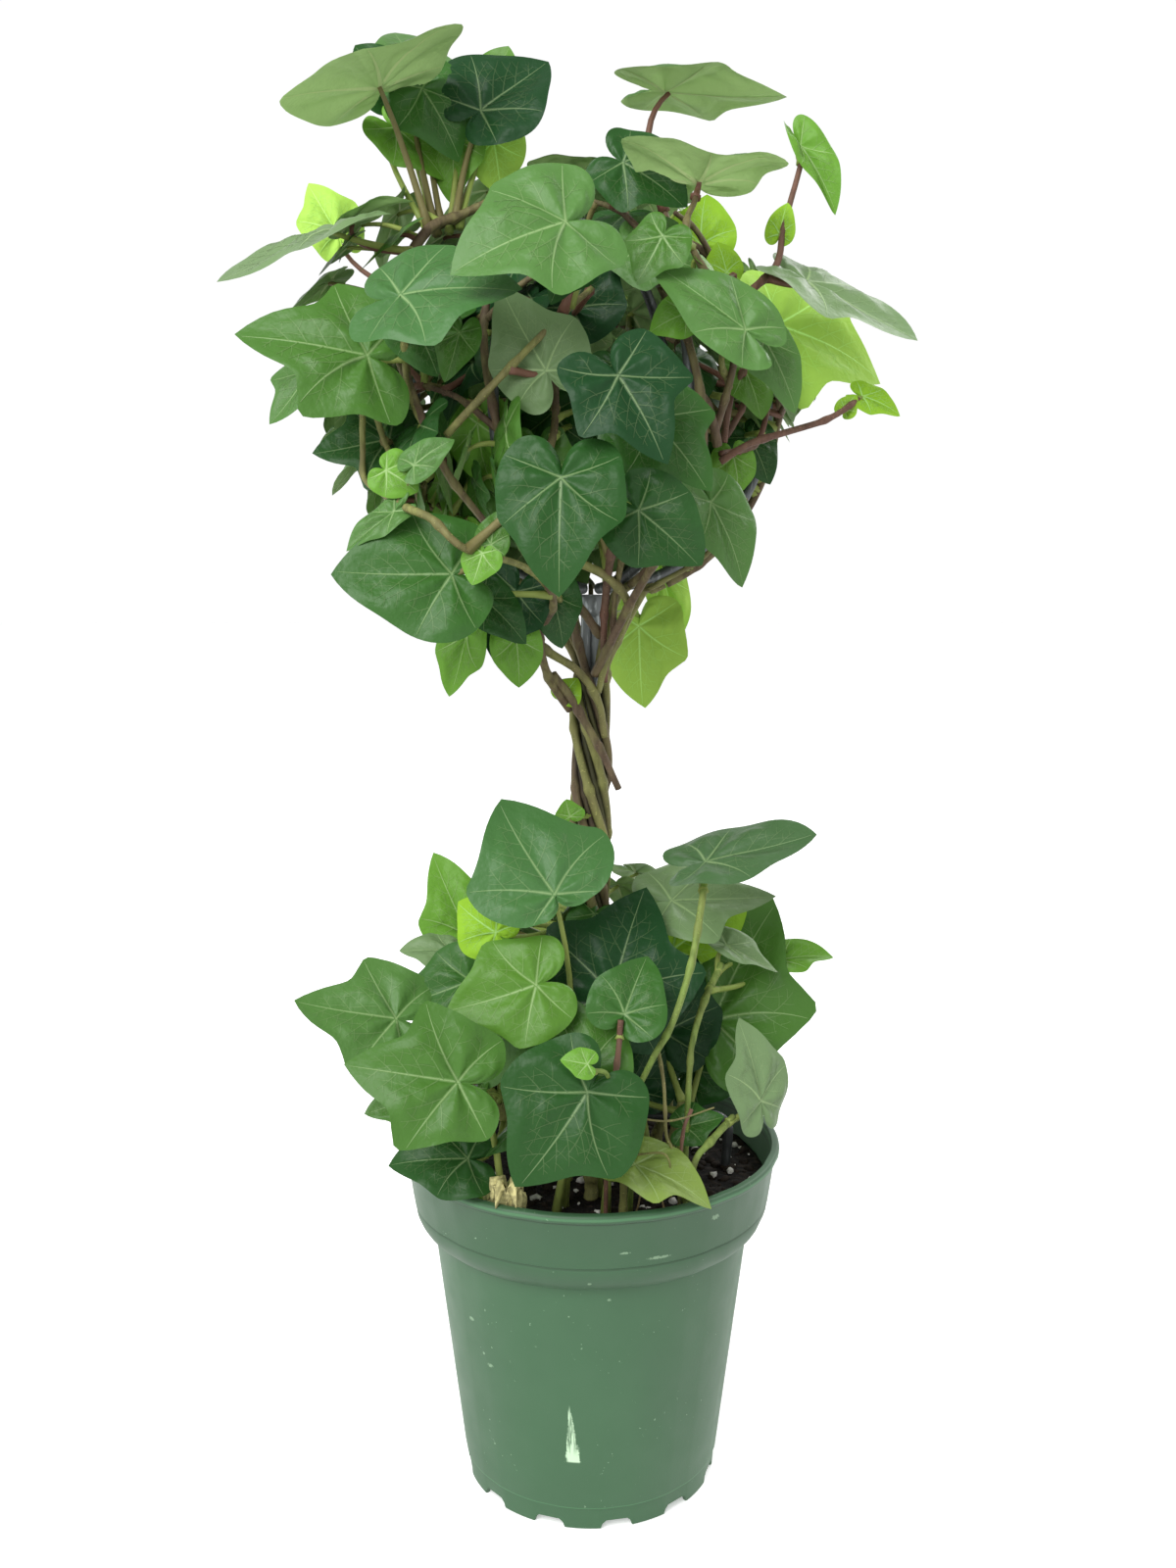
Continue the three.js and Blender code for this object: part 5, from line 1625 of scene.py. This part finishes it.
def leaf_piece(name, leaves, fine, finishes, replaced):
    """All leaves of one tint as one piece: blades, their pale flanks along the veins, and the veins."""
    rings, columns, main_steps, side_steps, under_steps = FINE_LEAF if fine else PLAIN_LEAF
    shape = Shape()
    blades(shape, leaves, rings, columns)
    main, branches, forks = vein_lines(leaves, fine)
    vein_strips(shape, leaves, main, main_steps, MAIN_VEIN, MAIN_WIDTH)
    vein_strips(shape, leaves, branches, side_steps, SIDE_VEIN, SIDE_WIDTH)
    if fine:
        vein_strips(shape, leaves, forks, FORK_STEPS, FINE_VEIN, FINE_WIDTH)
    vein_strips(shape, leaves, main, under_steps, UNDER_VEIN, UNDER_WIDTH, below=True)
    shape.piece(name, finishes, "foliage", replaced, crease=55)


def leaf_finishes(name, settings):
    """A tint's five finishes: the blade, its underside, the flanks of its veins, its veins, and the
    veins on the underside. Dark leaves have fainter veins than light ones."""
    colour = tuple(getattr(settings, name))
    under = blend(colour, tuple(settings.under), 0.7)
    # Painted light: the raised leaves' undersides take a bright colour as if lit through from behind.
    if name == "raised":
        under = tuple(settings.raised_under)
    pale = tuple(max(part, 1.5 * own) for part, own in zip(settings.vein, colour))
    vein = blend(colour, pale, 0.24 + colour[1])
    gloss = max(0.06, min(0.24, 0.07 + 1.7 * colour[1], 0.36 - 0.7 * colour[1]))
    return (
        leaf_finish(f"leaf_{name}", colour, 0.40, gloss),
        leaf_finish(f"leaf_{name}_under", under, 0.6),
        leaf_finish(f"leaf_{name}_flank", blend(colour, vein, 0.34), 0.42, gloss),
        leaf_finish(f"leaf_{name}_vein", vein, 0.45),
        leaf_finish(f"leaf_{name}_under_vein", blend(under, (1.0, 1.0, 0.6), 0.3), 0.6),
    )


def stalks(leaves, joints, feet):
    """Stalks from the nearest joint of a limb, or from a foot of their own: a curve that leaves the joint,
    bows out behind the blade and ends under it. Returns the rings."""
    gap = leaves.point[:, None, :] - joints[None]
    cost = np.linalg.norm(gap, axis=-1) + np.maximum(0, -gap[..., 2])
    start = joints[np.argmin(cost, axis=1)]
    for row, foot in feet.items():
        start[row] = foot
    behind = unit(leaves.normal + leaves.tip)
    bow = STALK_BOW * np.linalg.norm(leaves.point - start, axis=1, keepdims=True)
    control = leaves.point - bow * behind
    end = leaves.point + STALK_TUCK * leaves.tip - LEAF_THICKNESS * leaves.normal
    t = np.linspace(0, 1, STALK_STEPS)[None, :, None]
    path = (1 - t) ** 2 * start[:, None] + 2 * t * (1 - t) * control[:, None] + t ** 2 * end[:, None]
    plane = np.cross(control - start, end - start) + 1e-4
    thick = STALK_RADIUS + STALK_GROWTH * leaves.length
    taper = thick[:, None] * (1.15 - 0.5 * t[..., 0] + 0.5 * np.exp(-((t[..., 0] / 0.06) ** 2)))
    radius = np.repeat(taper[..., None], STALK_SIDES, -1)
    return tube(path, radius, STALK_SIDES, unit(plane)[:, None])


def stalk_pieces(name, leaves, joints, feet, finishes, deal):
    """The stalks, joined by colour: pale under young leaves, else dealt out by chance."""
    rings = stalks(leaves, joints, feet)
    i = np.arange(len(rings))
    dealt = np.array(deal)[(chance(i, 21) * len(deal)).astype(int)]
    young = np.isin(leaves.tint, YOUNG_TINTS) & (chance(i, 22) < YOUNG_SHARE)
    kind = np.where(young, 0, dealt)
    for number, (label, finish) in enumerate(finishes.items()):
        chosen = rings[kind == number]
        if len(chosen):
            shape = Shape()
            shape.add(chosen, tube_faces(STALK_STEPS, STALK_SIDES, len(chosen)))
            shape.piece(f"{name}_stalks_{label}", [finish], "foliage")


def foliage_pieces(name, leaves, leaders, joints, feet, deal, scene, replaced):
    """Leaves of every tint and all stalks of the head or of the foot. The leaders are made finer."""
    stem = scene.ivy_stem
    leads = np.arange(len(leaves.length)) < leaders
    for label in np.unique(leaves.tint):
        finishes = leaf_finishes(label, scene.ivy_leaf)
        for detail, fine, chosen in (("fore", True, leads), ("fill", False, ~leads)):
            mask = chosen & (leaves.tint == label)
            if mask.any():
                leaf_piece(f"{name}_{detail}_{label}", leaves.pick(mask), fine, finishes, replaced)
    finishes = {
        "pale": leaf_finish("stalk_pale", stem.pale, 0.45),
        "olive": leaf_finish("stalk_olive", blend(stem.pale, stem.olive, 0.3), 0.5),
        "red": leaf_finish("stalk_red", stem.red, 0.5),
        "brown": leaf_finish("stalk_brown", blend(stem.olive, stem.brown, 0.5), 0.5),
    }
    stalk_pieces(name, leaves, joints, feet, finishes, deal)


def bark_finishes(stem):
    """The four barks, each mixed from two of the stem colours."""
    return {
        "green": bark_finish("bark_green", stem.green, blend(stem.green, stem.olive, 0.5)),
        "olive": bark_finish("bark_olive", stem.olive, blend(stem.olive, stem.brown, 0.6)),
        "brown": bark_finish("bark_brown", stem.brown, blend(stem.brown, stem.olive, 0.5)),
        "red": bark_finish("bark_red", stem.red, blend(stem.red, stem.brown, 0.7)),
    }


def vine_pieces(name, vines, barks):
    """Vines joined by bark. Returns the paths, as joints for stalks."""
    paths = [smooth_path(points, VINE_STEPS) for points, radius, bark in vines]
    for label, finish in barks.items():
        shape = Shape()
        for number, (points, radius, bark) in enumerate(vines):
            if bark == label:
                limb(shape, paths[number], radius * VINE_TAPER, number + 20)
        if shape.count:
            shape.piece(f"{name}_vines_{label}", [finish], "foliage")
    return [path[VINE_BARE:] for path in paths]


def numbered(name, count):
    return [f"{name}_{i + 1}" for i in range(count)]


class IVY_OT_pot(Operator):
    """Turns the pot: foot ring with notches, tapered body, shoulder, collar and rolled lip"""

    bl_idname = "ivy.pot"
    bl_label = "Pot"

    def execute(self, context):
        settings = context.scene.ivy_pot
        finish = plastic_finish(settings)
        pot_shape(settings).piece("pot_body", [finish], "pot", ["pot"], crease=34)
        return {"FINISHED"}


class IVY_OT_soil(Operator):
    """Fills the pot: an uneven surface of damp soil with crumbs, pale grains, a dry husk and rootlets"""

    bl_idname = "ivy.soil"
    bl_label = "Soil"

    def execute(self, context):
        settings = context.scene.ivy_soil
        soil_surface(settings).piece("soil_surface", [soil_finish(settings)], "soil", ["soil"])
        crumbs = soil_lumps(
            settings, settings.crumbs, seed=31, inset=1, lift=0.0, sizes=(0.6, 1.7), power=2, flat=0.6
        )
        crumbs.piece("soil_crumbs", [grain_finish("soil_bark", settings.bark, 0.35)], "soil")
        grains = soil_lumps(
            settings, settings.grains, seed=41, inset=2, lift=0.3, sizes=(0.35, 1.5), power=3, flat=0.8
        )
        grains.piece("soil_grains", [grain_finish("soil_grain", settings.grain, 0.75)], "soil")
        husk = grain_finish("soil_dry_husk", settings.husk, 0.55)
        husk_shape(settings).piece("soil_husk", [husk], "soil")
        rootlet = leaf_finish("rootlet", settings.rootlet, 0.6)
        rootlet_shape(settings).piece("soil_rootlets", [rootlet], "soil")
        return {"FINISHED"}


class IVY_OT_wire_frame(Operator):
    """Bends the wire frame: a doubled rod on three legs, a weld, and a globe of six half hoops"""

    bl_idname = "ivy.wire_frame"
    bl_label = "Wire frame"

    def execute(self, context):
        settings = context.scene.ivy_wire
        shape = wire_shape(settings, mm(context.scene.ivy_soil.top))
        nodes = ["wire_stand"] + numbered("wire_hoop", HOOPS)
        shape.piece("wire_frame", [wire_finish(settings)], "wire", nodes, crease=60)
        return {"FINISHED"}


class IVY_OT_stems(Operator):
    """Twines the six stems round the rod, each with swollen joints and ridged bark"""

    bl_idname = "ivy.stems"
    bl_label = "Stems"

    def execute(self, context):
        settings = context.scene.ivy_stem
        barks = bark_finishes(settings)
        t = np.linspace(0, 1, STEM_STEPS)
        radius = mm(settings.foot_radius) * (1 - t) + mm(settings.tip_radius) * t
        ridge = ridges(STEM_STEPS, STEM_SIDES, 0)
        for index, bark in enumerate(STEM_BARKS):
            path = stem_path(360 * index / HOOPS, settings, STEM_STEPS)
            shape = Shape()
            thick = (radius * knuckles(path, index, 16.0, 0.28))[:, None] * ridge
            across = np.array(((0.95, -0.3, 0.02), (0.3, 0.95, 0.02))[index % 2])
            shape.add(tube(path, thick, STEM_SIDES, across), tube_faces(STEM_STEPS, STEM_SIDES))
            shape.piece(f"stem_bark_{index + 1}", [barks[bark]], "stem", [f"stem_{index + 1}"])
        for label, chosen in STRANDS.items():
            shape = Shape()
            for index in chosen:
                path = strand_path(index, settings, STEM_STEPS)
                thick = np.linspace(*STRAND_RADII, STEM_STEPS) * knuckles(path, index + 9, 14.0, 0.3)
                across = around(360 * (index + 0.5) / HOOPS + 90, 1.0, 0.0)
                rod(shape, path, thick, 10, across)
            shape.piece(f"stem_strands_{label}", [barks[label]], "stem")
        return {"FINISHED"}


class IVY_OT_head(Operator):
    """Grows the round head: boughs and twigs on the wire globe, vines in front, stalks and leaves"""

    bl_idname = "ivy.head"
    bl_label = "Head"

    def execute(self, context):
        stem = context.scene.ivy_stem
        barks = bark_finishes(stem)
        nodes = numbered("crown", HOOPS)
        boughs = Shape()
        joints = []
        for index in range(HOOPS):
            path = bough_place(index, np.linspace(STEM_TIP + 0.3, BOUGH_TIP, 90))
            limb(boughs, path, BOUGH_RADII, index + 7)
            joints.append(path[BOUGH_BARE:])
            for number in range(TWIGS):
                path = twig_path(index, number, count=16)
                limb(boughs, path, TWIG_RADII, index + 3 * number, sides=8)
                joints.append(path[BOUGH_BARE:])
        boughs.piece("head_boughs", [barks["brown"]], "foliage", nodes)
        joints += vine_pieces("head", VINES, barks)
        joints += strand_joints(stem, HEAD_STRETCH)
        joints = np.concatenate(joints)
        leaves = leader_leaves(GLOBE_LEADERS, seed=400)
        first = len(leaves.length)
        leaves = leaves.join(globe_leaves(*GLOBE_OUTER)).join(globe_leaves(*GLOBE_INNER))
        eye = eye_place(context.scene.ivy_stage)
        flank = clear_sky(globe_leaves(*GLOBE_FLANK), 0, HEAD_SKY, eye)
        flank = flank_leaves(leaves.pick(slice(first)), flank, VINES, eye, FLANK_TOP)
        leaves = in_view(clear_sky(leaves, first, HEAD_SKY, eye), first, VINES, eye)
        leaves = thin_out(leaves.join(flank), first, SPACING)
        foliage_pieces("head", leaves, first, joints, HEAD_FEET, HEAD_DEAL, context.scene, nodes)
        return {"FINISHED"}


class IVY_OT_skirt(Operator):
    """Grows the low skirt of shoots, stalks and leaves round the foot"""

    bl_idname = "ivy.skirt"
    bl_label = "Skirt"

    def execute(self, context):
        stem = context.scene.ivy_stem
        barks = bark_finishes(stem)
        nodes = numbered("skirt", SHOOTS)
        shoots = Shape()
        joints = []
        for index in range(SHOOTS):
            path = shoot_path(index, count=40)
            limb(shoots, path, SHOOT_RADII, index + 40)
            joints.append(path[SHOOT_BARE:])
        shoots.piece("skirt_shoots", [barks["olive"]], "foliage", nodes)
        joints += vine_pieces("skirt", SKIRT_VINES, barks)
        joints += strand_joints(stem, SKIRT_STRETCH)
        joints = np.concatenate(joints)
        leaves = leader_leaves(FOOT_LEADERS, seed=600)
        first = len(leaves.length)
        leaves = leaves.join(foot_leaves(*FOOT_OUTER)).join(foot_leaves(*FOOT_INNER))
        eye = eye_place(context.scene.ivy_stage)
        flank = clear_sky(foot_leaves(*FOOT_FLANK), 0, SKIRT_SKY, eye)
        flank = flank_leaves(leaves.pick(slice(first)), flank, SKIRT_VINES, eye)
        leaves = in_view(leaves, first, SKIRT_VINES, eye).join(flank)
        is_open = (leaves.point[:, 0] > OPEN_SOIL[0]) & (leaves.point[:, 1] < OPEN_SOIL[1])
        leaves = thin_out(leaves.pick(~is_open | (np.arange(len(is_open)) < first)), first, SPACING)
        foliage_pieces("skirt", leaves, first, joints, SKIRT_FEET, SKIRT_DEAL, context.scene, nodes)
        return {"FINISHED"}


# The stage, in metres: how far the floor reaches, the lamps' places, size and aim, the camera's sensor in
# millimetres and nearest sight, and where the light from below and from above starts and is full.
FLOOR_REACH = 6.0
KEY_PLACE = (-0.55, -0.95, 1.05)
FILL_PLACE = (0.8, 0.7, 1.1)
LAMP_SIZE = 0.9
LAMP_AIM = np.array((0, 0, 0.25))
SENSOR_WIDTH = 36
NEAREST = 0.01
BELOW_BAND = (-0.35, -0.06)
ABOVE_BAND = (0.36, 0.7)


class IVY_OT_stage(Operator):
    """Sets the pale floor, the soft light and the camera"""

    bl_idname = "ivy.stage"
    bl_label = "Stage"

    def execute(self, context):
        scene = context.scene
        settings = scene.ivy_stage
        mesh = bpy.data.meshes.new("floor")
        corners = [(FLOOR_REACH * x, FLOOR_REACH * y, 0) for x, y in ((-1, -1), (1, -1), (1, 1), (-1, 1))]
        mesh.from_pydata(corners, [], [(0, 1, 2, 3)])
        paper = Finish("floor_paper", base_color=opaque(settings.floor), roughness=0.9)
        paper.socket("emission_color").default_value = opaque(settings.floor)
        paper.socket("emission_strength").default_value = settings.glow
        mesh.materials.append(paper.material)
        floor = bpy.data.objects.new("floor", mesh)
        scene.collection.objects.link(floor)
        floor.visible_diffuse = False
        backdrop = Backdrop("studio")
        backdrop.socket("strength").default_value = settings.sky
        height = backdrop.axis(backdrop.node("ShaderNodeTexCoord", {}, {}, "Generated"), "Z")
        below = settings.nadir + (1 - settings.nadir) * height.step(*BELOW_BAND)
        backdrop.feed(color=below * (1 - (1 - settings.zenith) * height.step(*ABOVE_BAND)))
        scene.world = backdrop.material
        for name, power, place in (("key", settings.key, KEY_PLACE), ("fill", settings.fill, FILL_PLACE)):
            lamp = bpy.data.lights.new(name, "AREA")
            lamp.energy = power
            lamp.size = LAMP_SIZE
            made = bpy.data.objects.new(name, lamp)
            made.location = place
            aim = LAMP_AIM - np.array(place)
            flat = math.hypot(aim[0], aim[1])
            made.rotation_euler = (math.atan2(flat, -aim[2]), 0, math.atan2(-aim[0], aim[1]))
            scene.collection.objects.link(made)
        lens = bpy.data.cameras.new("camera")
        lens.sensor_width = SENSOR_WIDTH
        lens.lens = settings.lens
        lens.clip_start = NEAREST
        camera = bpy.data.objects.new("camera", lens)
        camera.location = (settings.aside, -settings.distance, settings.height)
        camera.rotation_euler = (math.pi / 2 - settings.tilt, 0, 0)
        scene.collection.objects.link(camera)
        scene.camera = camera
        scene.view_settings.view_transform = "Standard"
        return {"FINISHED"}


class IVY_PT_build(Panel):
    """Lists the steps and their settings"""

    bl_idname = "IVY_PT_build"
    bl_label = "Ivy globe"
    bl_space_type = "VIEW_3D"
    bl_region_type = "UI"
    bl_category = "Ivy"

    def draw(self, context):
        for operator in OPERATORS:
            self.layout.operator(operator.bl_idname)
        for name in SETTINGS:
            group = getattr(context.scene, name)
            box = self.layout.box()
            for key in group.__annotations__:
                box.prop(group, key, text=key.replace("_", " ").capitalize())


SETTINGS = {
    "ivy_pot": PotSettings,
    "ivy_soil": SoilSettings,
    "ivy_wire": WireSettings,
    "ivy_stem": StemSettings,
    "ivy_leaf": LeafSettings,
    "ivy_stage": StageSettings,
}
OPERATORS = (
    IVY_OT_pot, IVY_OT_soil, IVY_OT_wire_frame, IVY_OT_stems, IVY_OT_head, IVY_OT_skirt, IVY_OT_stage,
)


def register():
    for made in (*SETTINGS.values(), *OPERATORS, IVY_PT_build):
        bpy.utils.register_class(made)
    for name, group in SETTINGS.items():
        setattr(bpy.types.Scene, name, PointerProperty(type=group))


def unregister():
    for name in SETTINGS:
        delattr(bpy.types.Scene, name)
    for made in (IVY_PT_build, *reversed(OPERATORS), *reversed(SETTINGS.values())):
        bpy.utils.unregister_class(made)


def main():
    """Registers the add-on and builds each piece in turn."""
    register()
    bpy.ops.ivy.pot()
    bpy.ops.ivy.soil()
    bpy.ops.ivy.wire_frame()
    bpy.ops.ivy.stems()
    bpy.ops.ivy.head()
    bpy.ops.ivy.skirt()
    bpy.ops.ivy.stage()
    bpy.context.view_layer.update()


if __name__ == "__main__":
    main()
